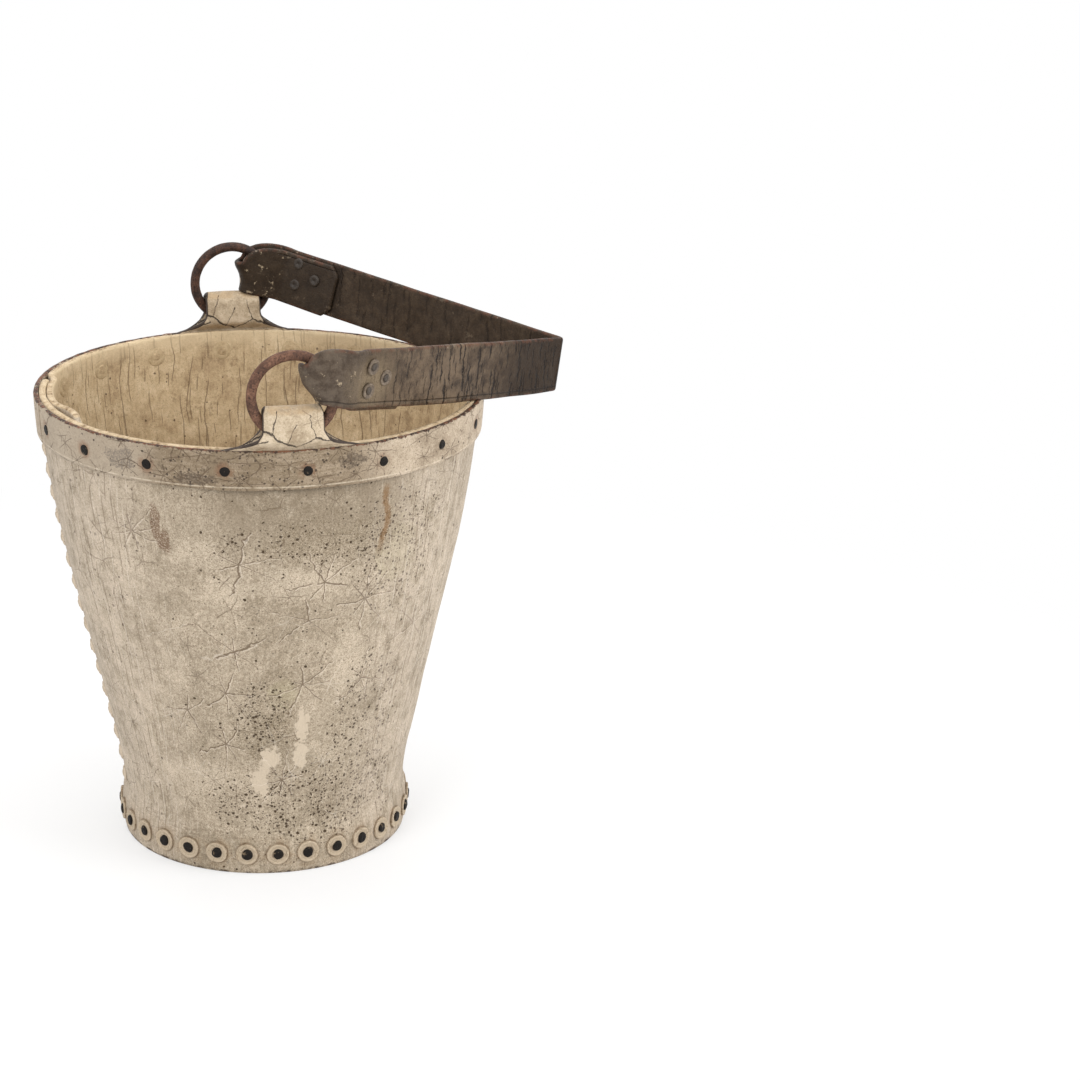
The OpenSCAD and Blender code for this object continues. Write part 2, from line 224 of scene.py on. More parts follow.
def wrap_sheet(name, sizes, laid, material, steps_up=60):
    """Makes a sheet that goes round the bucket, by nodes; `laid` says how it lies where it is."""
    tree, size, labels = sized_tree(name, sizes)
    round_total = size["Steps round"] + 2 * edge_steps
    over_total = 2 * (steps_up + edge_steps)
    grid = add_node(tree, "GeometryNodeMeshGrid", {
        "Size X": 1.0, "Size Y": 1.0, "Vertices X": round_total + 1, "Vertices Y": over_total + 1,
    })
    spot = add_node(tree, "GeometryNodeInputPosition").outputs[0]
    spot = add_node(tree, "ShaderNodeSeparateXYZ", {0: spot})
    round_step = (Field(tree, spot.outputs[0]) + 0.5) * round_total
    over_step = (Field(tree, spot.outputs[1]) + 0.5) * over_total

    # Round the bucket, with both ends of the sheet rounded over
    first = (round_step / edge_steps).clamped() * (math.pi / 2)
    last = ((round_total - round_step) / edge_steps).clamped() * (math.pi / 2)
    share = ((round_step - edge_steps) / size["Steps round"]).clamped()
    angle = size["From angle"] + size["Turn"] * share
    ends = first.sin().squared_off() * last.sin().squared_off()
    beyond = last.cos().squared_off() - first.cos().squared_off()

    # Up the outer face, over the top edge, down the inner face and under the bottom edge
    under = (over_step / edge_steps).clamped()
    up = ((over_step - edge_steps) / steps_up).clamped()
    over = ((over_step - edge_steps - steps_up) / edge_steps).clamped()
    down = ((over_step - 2 * edge_steps - steps_up) / steps_up).clamped()
    level = up - down
    level = level * (1 - size["Crowding"]) + level * level * size["Crowding"]
    swing = (under + over + 1) * math.pi
    out = swing.cos().squared_off()
    lift = swing.sin().squared_off()

    lie = laid(tree, size, angle, level)
    half = lie["thickness"] / 2
    height = lie["low"] + half + (lie["high"] - lie["low"] - half * 2) * level
    profile = add_node(tree, "ShaderNodeFloatCurve", {"Factor": 1.0, "Value": height / rim_z})
    curve = profile.mapping.curves[0]
    while len(curve.points) < len(wall_line):
        curve.points.new(0.5, 0.5)
    for point, (z, r) in zip(curve.points, wall_line):
        point.location = (z / rim_z, r / mouth_r)
        point.handle_type = "AUTO_CLAMPED"
    profile.mapping.update()
    middle = Field(tree, profile.outputs[0]) * mouth_r - lie["depth"]
    turn = angle * (math.pi / 180) + beyond * half / middle
    seat = joined(tree, middle * turn.cos(), middle * turn.sin(), height)
    middle = middle + lie["swell"](seat, height, out)
    radius = middle + out * half * ends
    place = joined(tree, radius * turn.cos(), radius * turn.sin(), height + lift * half * ends)

    marked = add_node(tree, "GeometryNodeStoreNamedAttribute", {
        "Geometry": grid.outputs[0], "Name": "outer", "Value": out,
    }, data_type="FLOAT", domain="POINT")
    moved = add_node(tree, "GeometryNodeSetPosition", {"Geometry": marked.outputs[0], "Position": place})
    closed = add_node(tree, "GeometryNodeMergeByDistance", {
        "Geometry": moved.outputs[0], "Distance": 0.00001,
    })
    return grown(name, tree, labels, sizes, closed.outputs[0], material)


def new_piece(name, mesh):
    piece = bpy.data.objects.new(name, mesh)
    bpy.context.scene.collection.objects.link(piece)
    return piece


def made_plain(piece):
    """Turns what a piece's modifiers make into its plain mesh."""
    graph = bpy.context.evaluated_depsgraph_get()
    mesh = bpy.data.meshes.new_from_object(
        piece.evaluated_get(graph), preserve_all_data_layers=True, depsgraph=graph
    )
    piece.modifiers.clear()
    piece.data = mesh
    return piece


def tab_pocket(angle):
    """1 behind the two tabs, where body and band are cut back to make room for them."""
    return ((angle * (math.pi / 90)).cos() * -1).rise(0.766, 0.790)


def body_lie(tree, size, angle, level):
    """One layer all round, stepping in under its own start, with the low corner cut off the lap."""
    lap_az = lap_start + 360
    free_az = lap_az + lap_turn
    cut_off = angle.rise(lap_az - 0.9, lap_az + 0.4)
    step_in = angle.rise(lap_az - joggle - 1, lap_az - 1) * level.rise(0.06, 0.11).sum("MAXIMUM", cut_off)
    curl = angle.hump(free_az - curl_from, free_az - curl_full, free_az + 3)
    curl = curl * (level.rise(0.3, 1.0) * 0.8 + 0.2)
    corner = angle.rise(free_az - 3.5, free_az + 0.5) * 0.0045
    round_rim = joined(tree, (angle * (math.pi / 180)).cos(), (angle * (math.pi / 180)).sin())
    wear = cloud(tree, round_rim, 0.09, detail=4.0, seed=3.0) * size["Edge wear"]
    bed = tab_pocket(angle) * level.rise(0.915, 0.925) * tab_bed
    near_seam = (angle - seam_az).size().rise(9, 24) * (angle - seam_az - 360).size().rise(9, 24)

    def swell(seat, height, out):
        free = height.rise(0.036, 0.07) * height.fall(0.25, 0.275) * near_seam
        wide = cloud(tree, seat, 0.085, detail=1.0, seed=1.0) - 0.5
        small = cloud(tree, seat, 0.022, detail=2.0, seed=2.0) - 0.5
        return (wide * size["Waviness"] + small * size["Lumps"]) * free

    return {
        "thickness": size["Thickness"] - bed, "low": cut_off * lap_low, "high": rim_z - wear - corner,
        "depth": (
            (size["Thickness"] + bed) / 2 + step_in * (size["Thickness"] + ply_gap) + curl * size["Curl"]
        ),
        "swell": swell,
    }


def shade(red, green, blue):
    """A colour written as it looks, from 0 to 255, turned into light."""
    looks = (red / 255, green / 255, blue / 255)
    return (*(c / 12.92 if c <= 0.04045 else ((c + 0.055) / 1.055) ** 2.4 for c in looks), 1.0)


def new_finish(name):
    """An empty material, with the place on the object in millimetres."""
    material = bpy.data.materials.new(name)
    material.use_nodes = True
    tree = material.node_tree
    tree.nodes.clear()
    place = add_node(tree, "ShaderNodeTexCoord").outputs["Object"]
    return material, tree, scaled(tree, place, 1000.0)


def parts_of(tree, vector):
    """The three numbers in a vector."""
    made = add_node(tree, "ShaderNodeSeparateXYZ", {0: vector})
    return [Field(tree, socket) for socket in made.outputs]


def blended(tree, share, first, second):
    """Goes from the first colour to the second as share goes from 0 to 1."""
    made = tree.nodes.new("ShaderNodeMix")
    made.data_type = "RGBA"
    for i, value in ((0, share), (6, first), (7, second)):
        value = value.socket if isinstance(value, Field) else value
        if isinstance(value, bpy.types.NodeSocket):
            tree.links.new(value, made.inputs[i])
        else:
            made.inputs[i].default_value = value
    return made.outputs[2]


def tones(tree, share, *steps):
    """A colour ramp through (share, colour) steps."""
    ramp = add_node(tree, "ShaderNodeValToRGB", {0: share})
    elements = ramp.color_ramp.elements
    while len(elements) < len(steps):
        elements.new(0.5)
    for element, (at, colour) in zip(elements, steps):
        element.position = at
        element.color = colour
    return ramp.outputs[0]


def finish_surface(tree, colour, roughness, height, gloss=0.35):
    """Ends a material: height is in millimetres, and becomes the surface's small relief."""
    relief = add_node(tree, "ShaderNodeBump", {"Height": height, "Distance": 0.001, "Strength": 1.0})
    skin = add_node(tree, "ShaderNodeBsdfPrincipled", {
        "Base Color": colour, "Roughness": roughness, "Normal": relief.outputs[0],
        "Specular IOR Level": gloss,
    })
    end = add_node(tree, "ShaderNodeOutputMaterial")
    tree.links.new(skin.outputs[0], end.inputs[0])


def cells(tree, where, dimensions="3D", **inputs):
    """Voronoi cells with sides of about one unit."""
    inputs = {"Vector": where, "Scale": 1.0, **inputs}
    return add_node(tree, "ShaderNodeTexVoronoi", inputs, voronoi_dimensions=dimensions)


def scaled(tree, vector, by):
    made = add_node(tree, "ShaderNodeVectorMath", {0: vector, "Scale": by}, operation="SCALE")
    return made.outputs[0]


def chances(tree, label):
    """Three numbers by chance, which are the same wherever the label is the same."""
    noise = add_node(tree, "ShaderNodeTexWhiteNoise", {"Vector": label})
    return parts_of(tree, noise.outputs["Color"])


def named(tree, label):
    """A number that the mesh keeps at its points."""
    return Field(tree, add_node(tree, "ShaderNodeAttribute", attribute_name=label).outputs["Fac"])


# Millimetres that a degree round the bucket takes at a middle radius, and at its two rows of rivets
middle_radius = 118
arc_per_degree = middle_radius * math.pi / 180
foot_arc_per_degree = 1.666
band_arc_per_degree = 2.52


def pits(tree, place, spacing, share, radius):
    """Round pits where the paint has blistered off: share of the cells have one."""
    cell = cells(tree, scaled(tree, place, 1 / spacing))
    chance = parts_of(tree, cell.outputs["Color"])
    has_one = (share - chance[0]).rise(0.0, 0.02)
    reach = radius * (0.35 + chance[1] * 0.9)
    torn = (cloud(tree, place, radius * 1.2, detail=2.0, seed=spacing) - 0.5) * radius * 1.5
    return (reach + torn - Field(tree, cell.outputs["Distance"]) * spacing).rise(0.0, 0.22) * has_one


def star(tree, flat, across, upward, chance, reach, width, seed):
    """Hair cracks that run out of a point: across and upward are the offsets from it."""
    far = (across * across + upward * upward) ** 0.5
    bearing = upward.sum("ARCTAN2", across)
    arms = (chance[1] * 4 + 5).sum("FLOOR")
    turn = bearing * arms / (2 * math.pi) + chance[2] * 7 + (bearing * 2 + chance[0] * 9).sin() * 0.22
    turn = turn + (cloud(tree, flat, 11, detail=3.0, seed=seed + 5, rough=0.6) - 0.5) * 0.55
    aside = (turn.sum("FRACT") - 0.5).size() * far * (2 * math.pi) / arms
    arm = joined(tree, turn.sum("FLOOR"), chance[0] * 50, chance[1] * 50)
    arm_chance = Field(tree, add_node(tree, "ShaderNodeTexWhiteNoise", {"Vector": arm}).outputs["Value"])
    ends = far.fall(reach * 0.4, reach) * (arm_chance * reach * 0.9 + reach * 0.35 - far).rise(0.0, 2.0)
    thin = width * (1.15 - far / reach * 0.55)
    broken = cloud(tree, flat, 4.0, detail=2.0, seed=seed).rise(0.34, 0.42)
    return (aside / thin).fall(0.4, 1.3) * ends.rise(0.05, 0.3) * broken


def star_cracks(tree, arc, height, spacing, active, reach, width, seed):
    """Stars of cracks by chance, as where paint over leather has been knocked."""
    flat = joined(tree, arc, height)
    bend = add_node(tree, "ShaderNodeTexNoise", {"Vector": flat, "Scale": 0.07, "Detail": 3.0})
    bend = scaled(tree, bend.outputs["Color"], 5.0)
    bent = add_node(tree, "ShaderNodeVectorMath", {0: flat, 1: bend})
    moved = add_node(tree, "ShaderNodeVectorMath", {0: bent.outputs[0], 1: (seed, seed * 0.7, 0)})
    at = scaled(tree, moved.outputs[0], 1 / spacing)
    cell = cells(tree, at, dimensions="2D", Randomness=0.9)
    off = add_node(
        tree, "ShaderNodeVectorMath", {0: at, 1: cell.outputs["Position"]}, operation="SUBTRACT"
    )
    across, upward, _ = parts_of(tree, scaled(tree, off.outputs[0], spacing))
    chance = parts_of(tree, cell.outputs["Color"])
    line = star(tree, flat, across, upward, chance, reach, width, seed)
    return line * (active - chance[0]).rise(0.0, 0.01)


def nearest_knock(tree, arc, height, knocks):
    """Offsets from the nearest of some knocks, each an angle and a height, and its own chances."""
    flat = joined(tree, arc, height)
    wobble = (cloud(tree, flat, 9, detail=3.0, seed=3.3) - 0.5) * 5
    best = None
    for number, (azimuth, level) in enumerate(knocks):
        across = arc - azimuth * arc_per_degree + wobble
        upward = height - level - wobble * 0.7
        far = across * across + upward * upward
        if best is None:
            best = [far, across, upward, far * 0.0]
            continue
        nearer = (best[0] - far).rise(0.0, 0.001)
        found = (far, across, upward, float(number))
        best = [old + (new - old) * nearer for old, new in zip(best, found)]
    label = joined(tree, best[3], 4.0, 7.0)
    chance = chances(tree, label)
    return best[1], best[2], chance


def blot(tree, arc, height, place, azimuth, level, half_width, half_height, ragged=0.5, size=9.0):
    """A mark on the wall at a given place: its middle's angle and height, and its half sizes."""
    across = (arc - azimuth * arc_per_degree) / half_width
    upward = (height - level) / half_height
    far = (across * across + upward * upward) ** 0.5
    torn = cloud(tree, place, size, detail=6.0, seed=azimuth, rough=0.68) - 0.5
    return (far + torn * ragged * 2.6).fall(0.78, 1.0)


def hair_lines(tree, arc, height, gap, length, width, share, seed):
    """Thin cracks that run upwards, one in each strip of a surface, each with its own two ends."""
    flat = joined(tree, arc, height)
    bend = (cloud(tree, flat, 60, detail=2.0, seed=seed) - 0.5) * gap * 3
    bend = bend + (cloud(tree, flat, 5, detail=4.0, seed=seed + 1) - 0.5) * gap * 0.3
    strip = (arc + bend) / gap + seed
    up = height / length + (strip.sum("FLOOR") * 0.37).sum("FRACT")
    number = joined(tree, strip.sum("FLOOR"), up.sum("FLOOR"), seed)
    chance = chances(tree, number)
    aside = (strip.sum("FRACT") - 0.25 - chance[0] * 0.5).size() * gap
    ends = (up.sum("FRACT") - 0.5).size()
    reach = chance[1] * 0.32 + 0.14
    thin = (reach - ends).rise(0.0, 0.12)
    return aside.fall(width * 0.4, width * 1.4) * thin * (share - chance[2]).rise(0.0, 0.02)


def past(arc, first, second):
    """Goes from 0 to 1 as the angle round the bucket goes from the first to the second, in degrees."""
    return arc.rise(first * arc_per_degree, second * arc_per_degree)


def round_bucket(tree, place):
    """Angle round the bucket as a length, the height, and the place's two level coordinates."""
    x, y, z = parts_of(tree, place)
    azimuth = (y.sum("ARCTAN2", x) * (180 / math.pi) + 360).sum("MODULO", 360)
    return azimuth * arc_per_degree, z, x, y


def body_paint():
    material, tree, place = new_finish("cracked_cream_paint")
    arc, z, x, y = round_bucket(tree, place)
    upright = joined(tree, x, y, z / 16)

    def mark(*where, **how):
        return blot(tree, arc, z, place, *where, **how)

    # Cream paint greyed by grime in the grain
    wide = cloud(tree, place, 48, detail=5.0, seed=1.3)
    middle = cloud(tree, place, 9, detail=5.0, seed=2.0, rough=0.62)
    fine = cloud(tree, place, 1.2, detail=4.0, seed=3.0, rough=0.7)
    speck = cloud(tree, place, 0.7, detail=3.0, seed=4.0, rough=0.8)
    streak = cloud(tree, upright, 1.5, detail=3.0, seed=5.0, rough=0.6)
    greyed = wide * 0.5 + middle * 0.45 + fine * 0.9 + streak * 0.25 - 0.615
    colour = tones(
        tree, greyed, (0.28, shade(142, 128, 107)), (0.44, shade(174, 159, 138)),
        (0.58, shade(196, 180, 158)), (0.76, shade(217, 201, 181)),
    )
    grain = speck.rise(0.51, 0.60) * (0.95 - wide * 0.6 + (middle - 0.5) * 0.8).clamped()
    colour = blended(tree, grain, colour, shade(112, 97, 78))
    flecks = cloud(tree, place, 2.6, detail=6.0, seed=14.0, rough=0.8)
    colour = blended(tree, flecks.rise(0.55, 0.63) * 0.55, colour, shade(116, 100, 78))
    colour = blended(tree, flecks.fall(0.36, 0.43) * 0.4, colour, shade(222, 208, 188))
    colour = blended(tree, speck.fall(0.30, 0.42) * 0.4, colour, shade(226, 212, 194))
    peppered = (wide * 0.5 + middle * 0.7 - 0.1).rise(0.40, 0.62) * 0.75 + 0.12
    pepper = pits(tree, place, 1.3, peppered, 0.42)
    colour = blended(tree, pepper * 0.75, colour, shade(98, 82, 60))

    # Darker below the band, and dirt in patches
    under_band = z.rise(222, 268) * (middle * 0.6 + wide * 0.4).rise(0.36, 0.54) * 0.72
    side = past(arc, 244, 258) * (1 - past(arc, 292, 312))
    colour = blended(tree, under_band * (side * 0.75 + 0.25), colour, shade(118, 103, 82))
    dirt = mark(263, 104, 22, 26, ragged=1.3) * 0.36 + mark(284, 240, 46, 16, ragged=1.2) * 0.3
    dirt = dirt + mark(268, 128, 12, 30, ragged=1.4) * 0.3 + mark(277, 238, 34, 20, ragged=1.3) * 0.2
    colour = blended(tree, dirt * speck.rise(0.40, 0.60), colour, shade(98, 82, 54))
    greenish = mark(301, 225, 16, 24) * 0.3 + mark(268, 132, 12, 12) * 0.3
    colour = blended(tree, greenish * middle.rise(0.35, 0.6), colour, shade(168, 158, 124))

    # Fresh patches where a flake of grime has lifted
    bare = (
        mark(260.6, 67, 8, 14, ragged=1.1, size=6.0) + mark(264.3, 84, 9, 9, ragged=1.1, size=5.0)
        + mark(275, 86, 6, 12, ragged=1.2, size=5.0) + mark(275.4, 108, 5, 13, ragged=1.4, size=4.0)
    ).clamped()
    worn = (
        mark(252, 208, 20, 11, ragged=1.6, size=8.0) + mark(271, 213, 26, 12, ragged=1.6, size=9.0)
        + mark(246, 232, 17, 10, ragged=1.6, size=8.0) + mark(233, 150, 11, 16, ragged=1.6, size=8.0)
        + mark(238, 68, 26, 12, ragged=1.6, size=8.0) + mark(290, 150, 15, 26, ragged=1.6, size=8.0)
    ).clamped()
    colour = blended(tree, worn * (speck.fall(0.44, 0.58) * 0.3 + 0.08), colour, shade(214, 198, 176))
    colour = blended(tree, bare * 0.9, colour, shade(200, 184, 162))

    # Pits, thick low down in front
    low_front = mark(283, 50, 84, 30, ragged=0.7, size=24.0) * 0.9
    low_front = low_front + mark(300, 96, 30, 56, ragged=0.9) * 0.6
    cluster = mark(262, 116, 21, 28, ragged=0.6) * 0.85
    few = cloud(tree, place, 26, seed=9.0).rise(0.45, 0.75) * 0.14 + 0.03
    high = mark(303, 228, 36, 48, ragged=0.9) * 0.6 + mark(278, 240, 60, 18, ragged=1.0) * 0.3
    crowded = (low_front + cluster + high).clamped() + few
    pitted = pits(tree, place, 2.6, crowded * middle.rise(0.30, 0.46) * 1.15, 0.9)
    small_pits = pits(tree, place, 1.5, crowded * 0.85, 0.52)
    pitted = (pitted + small_pits * 0.8).clamped() * (1 - bare)
    colour = blended(tree, pitted * 0.95, colour, shade(62, 46, 28))

    # Star cracks: dark ones with a painted highlight along one side of each, and pale ones that only stand
    # up
    knocks = (
        (256.4, 226.2), (253.6, 164.6), (226.3, 241.8), (279.1, 212.5), (292.2, 196), (275.4, 185.8),
        (314.7, 165.4), (295.3, 136.5), (274.8, 139), (250.4, 133.3), (249, 94.8), (268.6, 67.9),
        (236, 118),
    )
    beside_knock, above_knock, knock_chance = nearest_knock(tree, arc, z, knocks)
    flat = joined(tree, arc, z)
    in_front = past(arc, 215, 222) * (1 - past(arc, 318, 325))
    dark_star = star(tree, flat, beside_knock, above_knock, knock_chance, 29.0, 0.40, 11.0)
    dark_star = dark_star * in_front
    # Painted highlight: the same dark stars moved a little up and to one side, drawn pale.
    star_highlight_edge = star(tree, flat, beside_knock - 0.6, above_knock + 0.5, knock_chance, 29.0, 0.45, 11.0)
    star_highlight_edge = star_highlight_edge * in_front
    elsewhere = star_cracks(tree, arc, z, 40.0, 0.80, 25.0, 0.26, 11.0) * (1 - in_front)
    more_stars = star_cracks(tree, arc, z, 27.0, 0.55, 15.0, 0.20, 47.0)
    pale_star = star_cracks(tree, arc, z, 37.0, 0.6, 24.0, 0.26, 83.0) * z.fall(170, 205)
    cracked = (dark_star + elsewhere + more_stars * 0.7).clamped() * (1 - bare)
    colour = blended(tree, star_highlight_edge * 0.4, colour, shade(226, 212, 194))
    colour = blended(tree, cracked * 0.85, colour, shade(100, 82, 62))
    colour = blended(tree, pale_star * 0.35, colour, shade(228, 215, 198))

    # Wrinkles that run up the two sides, and a painted highlight on both sides
    to_side = (1 - past(arc, 214, 242)) + past(arc, 286, 312)
    behind = (1 - past(arc, 140, 182)) + past(arc, 325, 350)
    to_side = to_side.clamped() * (1 - behind * 0.5) * 0.85 + 0.15
    dark_wrinkle = hair_lines(tree, arc, z, 3.4, 40.0, 0.34, 0.6, 5.0) * to_side
    pale_wrinkle = hair_lines(tree, arc, z, 4.0, 52.0, 0.42, 0.65, 9.0) * to_side
    # Painted highlight: both sides of the bucket lighter, in patches.
    colour = blended(tree, (to_side - 0.15) * middle.rise(0.3, 0.6) * 0.4, colour, shade(214, 198, 180))
    colour = blended(tree, dark_wrinkle * 0.65, colour, shade(118, 100, 80))
    colour = blended(tree, pale_wrinkle * fine.rise(0.3, 0.55) * 0.5, colour, shade(226, 213, 195))

    # Fine creases that run round the foot above the washers
    foot_line = cloud(tree, joined(tree, x / 14, y / 14, z), 0.9, detail=2.0, seed=6.0)
    foot_line = foot_line.rise(0.56, 0.68) * z.hump(20, 27, 42) * (1 - past(arc, 262, 276))
    colour = blended(tree, foot_line * 0.45, colour, shade(136, 118, 98))

    # Dirt and painted shade in the corner round each washer of the base, and a brown halo round some
    foot_degrees = arc / arc_per_degree - seam_az - base_turn
    beside_rove = ((foot_degrees / base_step + 0.5).sum("FRACT") - 0.5) * base_step * foot_arc_per_degree
    upward = z - base_rivet_z * 1000
    from_rove = (beside_rove * beside_rove + upward * upward) ** 0.5
    corner_dirt_and_shade = from_rove.hump(6.8, 7.4, 8.6) * (middle.rise(0.36, 0.55) * 0.5 + 0.12)
    colour = blended(tree, corner_dirt_and_shade, colour, shade(122, 100, 76))
    halo = from_rove.fall(8, 15) * middle.rise(0.44, 0.62) * 0.4
    colour = blended(tree, halo, colour, shade(140, 116, 86))

    # Brown stains, grains of rust and one drip
    stain = mark(233.8, 252, 3.2, 13, ragged=0.7, size=6.0) + mark(236, 238, 4.2, 9, ragged=0.8, size=6.0)
    colour = blended(tree, (stain * speck.rise(0.40, 0.52)).clamped() * 0.8, colour, shade(104, 76, 54))
    drip_arc = arc + (cloud(tree, joined(tree, 0.0, 0.0, z), 22, detail=2.0, seed=7.0) - 0.5) * 16
    across_drip = ((drip_arc - 295.4 * arc_per_degree) / 1.9).size()
    drip = (across_drip + (fine - 0.5) * 2.4).fall(0.4, 1.5) * z.rise(222, 240) * z.fall(268, 276)
    colour = blended(tree, drip * (speck.rise(0.34, 0.55) * 0.45 + 0.45), colour, shade(128, 97, 62))

    # Bare dark leather along the foot, pale paint on the rim
    foot_wear = cloud(tree, place, 7, detail=5.0, seed=12.0, rough=0.7)
    foot_worn = z.fall(1.0, 3.0) * foot_wear.rise(0.46, 0.58)
    colour = blended(tree, foot_worn, colour, shade(76, 58, 44))

    # The inside: tan, streaked down the wall and split in long hairs
    inside = named(tree, "outer").fall(-0.75, -0.45)
    rim_top = z.rise(302.0, 303.2)
    rim_chips = cloud(tree, place, 5, detail=5.0, seed=13.0, rough=0.7)
    rim_colour = tones(
        tree, rim_chips, (0.36, shade(128, 102, 74)), (0.46, shade(188, 164, 130)),
        (0.62, shade(214, 194, 162)),
    )
    colour = blended(tree, rim_top, colour, rim_colour)
    warm = wide * 0.75 + middle * 0.95 + streak * 0.35 + fine * 0.45 - 0.72
    tan = tones(
        tree, warm, (0.26, shade(152, 129, 99)), (0.42, shade(182, 158, 124)),
        (0.58, shade(201, 178, 142)), (0.76, shade(218, 197, 163)),
    )
    tan = blended(tree, speck.rise(0.51, 0.64) * 0.5, tan, shade(120, 98, 70))
    tan = blended(tree, flecks.rise(0.56, 0.64) * 0.4, tan, shade(118, 94, 66))
    tan = blended(tree, flecks.fall(0.35, 0.42) * 0.45, tan, shade(216, 198, 164))
    split = hair_lines(tree, arc, z, 6.0, 95.0, 0.32, 0.6, 21.0)
    split = (split + hair_lines(tree, arc, z, 3.4, 36.0, 0.24, 0.5, 31.0)).clamped()
    tan = blended(tree, split * 0.62, tan, shade(100, 78, 56))
    old_stain = cloud(tree, place, 13, detail=6.0, seed=16.0, rough=0.75).rise(0.56, 0.66)
    tan = blended(tree, old_stain * 0.6, tan, shade(122, 97, 68))
    tan = blended(tree, pits(tree, place, 4.0, 0.22, 0.8) * 0.8, tan, shade(74, 54, 40))
    tan = blended(tree, z.rise(288, 301) * 0.6, tan, shade(216, 195, 160))
    floor_shade = z.fall(30, 90) * 0.35
    tan = blended(tree, floor_shade, tan, shade(106, 82, 56))
    colour = blended(tree, inside, colour, tan)

    outside_relief = (
        (elsewhere + more_stars) * -0.16 + pale_star * 0.16 - pitted * 0.45 - bare * 0.14
        - dark_wrinkle * 0.2 + pale_wrinkle * 0.22 - foot_line * 0.2
    )
    inside_relief = split * -0.3
    height = (
        outside_relief * (1 - inside) + inside_relief * inside + (fine - 0.5) * 0.42
        + (middle - 0.5) * 0.8 + (streak - 0.5) * 0.3 + (speck - 0.5) * 0.16 - foot_worn * 0.3
        - corner_dirt_and_shade * 0.35
    )
    finish_surface(tree, colour, 0.62 + (fine - 0.5) * 0.4 + pitted * 0.2, height, gloss=0.3)
    return material


body = wrap_sheet("body_wall", {
    "From angle": float(lap_start), "Turn": float(360 + lap_turn), "Steps round": 380,
    "Thickness": hide_thick, "Crowding": 0.35, "Waviness": 0.0038, "Lumps": 0.0009,
    "Edge wear": 0.0009, "Curl": curl_lift,
}, body_lie, body_paint())
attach(body, "bucket")
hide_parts("body_sheet")


# Base: a thick leather disc inside the foot, its edge turned down and riveted through the wall.
# It sags a little in the middle and is stained from what stood in the bucket.
base_thick = 0.005
floor_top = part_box("base_disc")[1].z
flange_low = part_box("base_disc")[0].z
flange_depth = hide_thick + ply_gap


def lathed(name, outline, sides, wobble=0.0, seed=0):
    """Turns a closed outline of (radius, height) about Z; each point's radius is kept as "ring"."""
    chance = random.Random(seed)
    lobes = [(n, chance.uniform(0, 6.28), 1.3 / n) for n in (1, 2, 3, 7)]
    points, faces, rings = [], [], []
    for i in range(sides):
        angle = 2 * math.pi * i / sides
        swing = 1 + wobble * sum(w * math.sin(n * angle + a) for n, a, w in lobes)
        for r, z in outline:
            points.append((r * swing * math.cos(angle), r * swing * math.sin(angle), z))
            rings.append(r * 1000)
    count = len(outline)
    for i in range(sides):
        here, there = i * count, (i + 1) % sides * count
        for j in range(count):
            k = (j + 1) % count
            faces.append((here + j, there + j, there + k, here + k))
    mesh = bpy.data.meshes.new(name)
    mesh.from_pydata(points, [], faces)
    mesh.attributes.new("ring", "FLOAT", "POINT").data.foreach_set("value", rings)
    closed_up(mesh)
    return mesh


def closed_up(mesh, near=0.000004):
    """Merges doubled points, drops faces without area and points every face outwards."""
    work = bmesh.new()
    work.from_mesh(mesh)
    bmesh.ops.remove_doubles(work, verts=work.verts, dist=near)
    bmesh.ops.dissolve_degenerate(work, edges=work.edges, dist=near / 2)
    bmesh.ops.recalc_face_normals(work, faces=work.faces)
    for face in work.faces:
        face.smooth = True
    work.to_mesh(mesh)
    work.free()


def base_outline():
    """The disc's section: top face, turned corner, flange with a round lower edge, and back."""
    wall = [wall_r(floor_top * i / 8) - flange_depth for i in range(9)]
    sag = 0.0012
    out = [(r, floor_top - sag * (1 - (r / 0.08) ** 2)) for r in (0.0001, 0.02, 0.04, 0.06, 0.076)]
    for a in (90, 68, 45, 22):
        turn = math.radians(a)
        out.append((wall[8] - 0.004 + 0.004 * math.cos(turn), floor_top - 0.004 + 0.004 * math.sin(turn)))
    out += [(wall[i], floor_top * i / 8) for i in (6, 5, 4, 3, 2, 1)]
    for a in (0, -60, -120, -180):
        turn = math.radians(a)
        middle = wall[0] - base_thick / 2
        level = flange_low + 0.0018 + 0.0018 * math.sin(turn)
        out.append((middle + base_thick / 2 * math.cos(turn), level))
    out += [(wall[i] - base_thick, floor_top * i / 8) for i in (1, 2, 3, 4, 5)]
    out += [(wall[6] - base_thick - 0.0015, floor_top - base_thick)]
    out += [(r, floor_top - base_thick - sag * (1 - (r / 0.08) ** 2)) for r in (0.07, 0.05, 0.03, 0.0001)]
    return out


def worn_base_leather():
    material, tree, place = new_finish("stained_base_leather")
    wide = cloud(tree, place, 34, detail=5.0, seed=21.0)
    fine = cloud(tree, place, 1.4, detail=4.0, seed=22.0, rough=0.65)
    colour = tones(
        tree, wide * 0.7 + fine * 0.4 - 0.06, (0.34, shade(88, 66, 44)), (0.52, shade(132, 104, 72)),
        (0.72, shade(168, 141, 104)),
    )
    x, y, _ = parts_of(tree, place)
    far = (x * x + y * y) ** 0.5
    colour = blended(tree, far.rise(66, 84) * 0.5, colour, shade(74, 56, 38))
    colour = blended(tree, pits(tree, place, 6.0, 0.18, 1.1) * 0.7, colour, shade(52, 38, 28))
    finish_surface(tree, colour, 0.7 + (fine - 0.5) * 0.3, (fine - 0.5) * 0.4 + (wide - 0.5) * 1.2)
    return material


base_mesh = lathed("base", base_outline(), 144)
base_mesh.materials.append(worn_base_leather())
base = new_piece("base", base_mesh)
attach(base, "bucket")
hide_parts("base_disc")


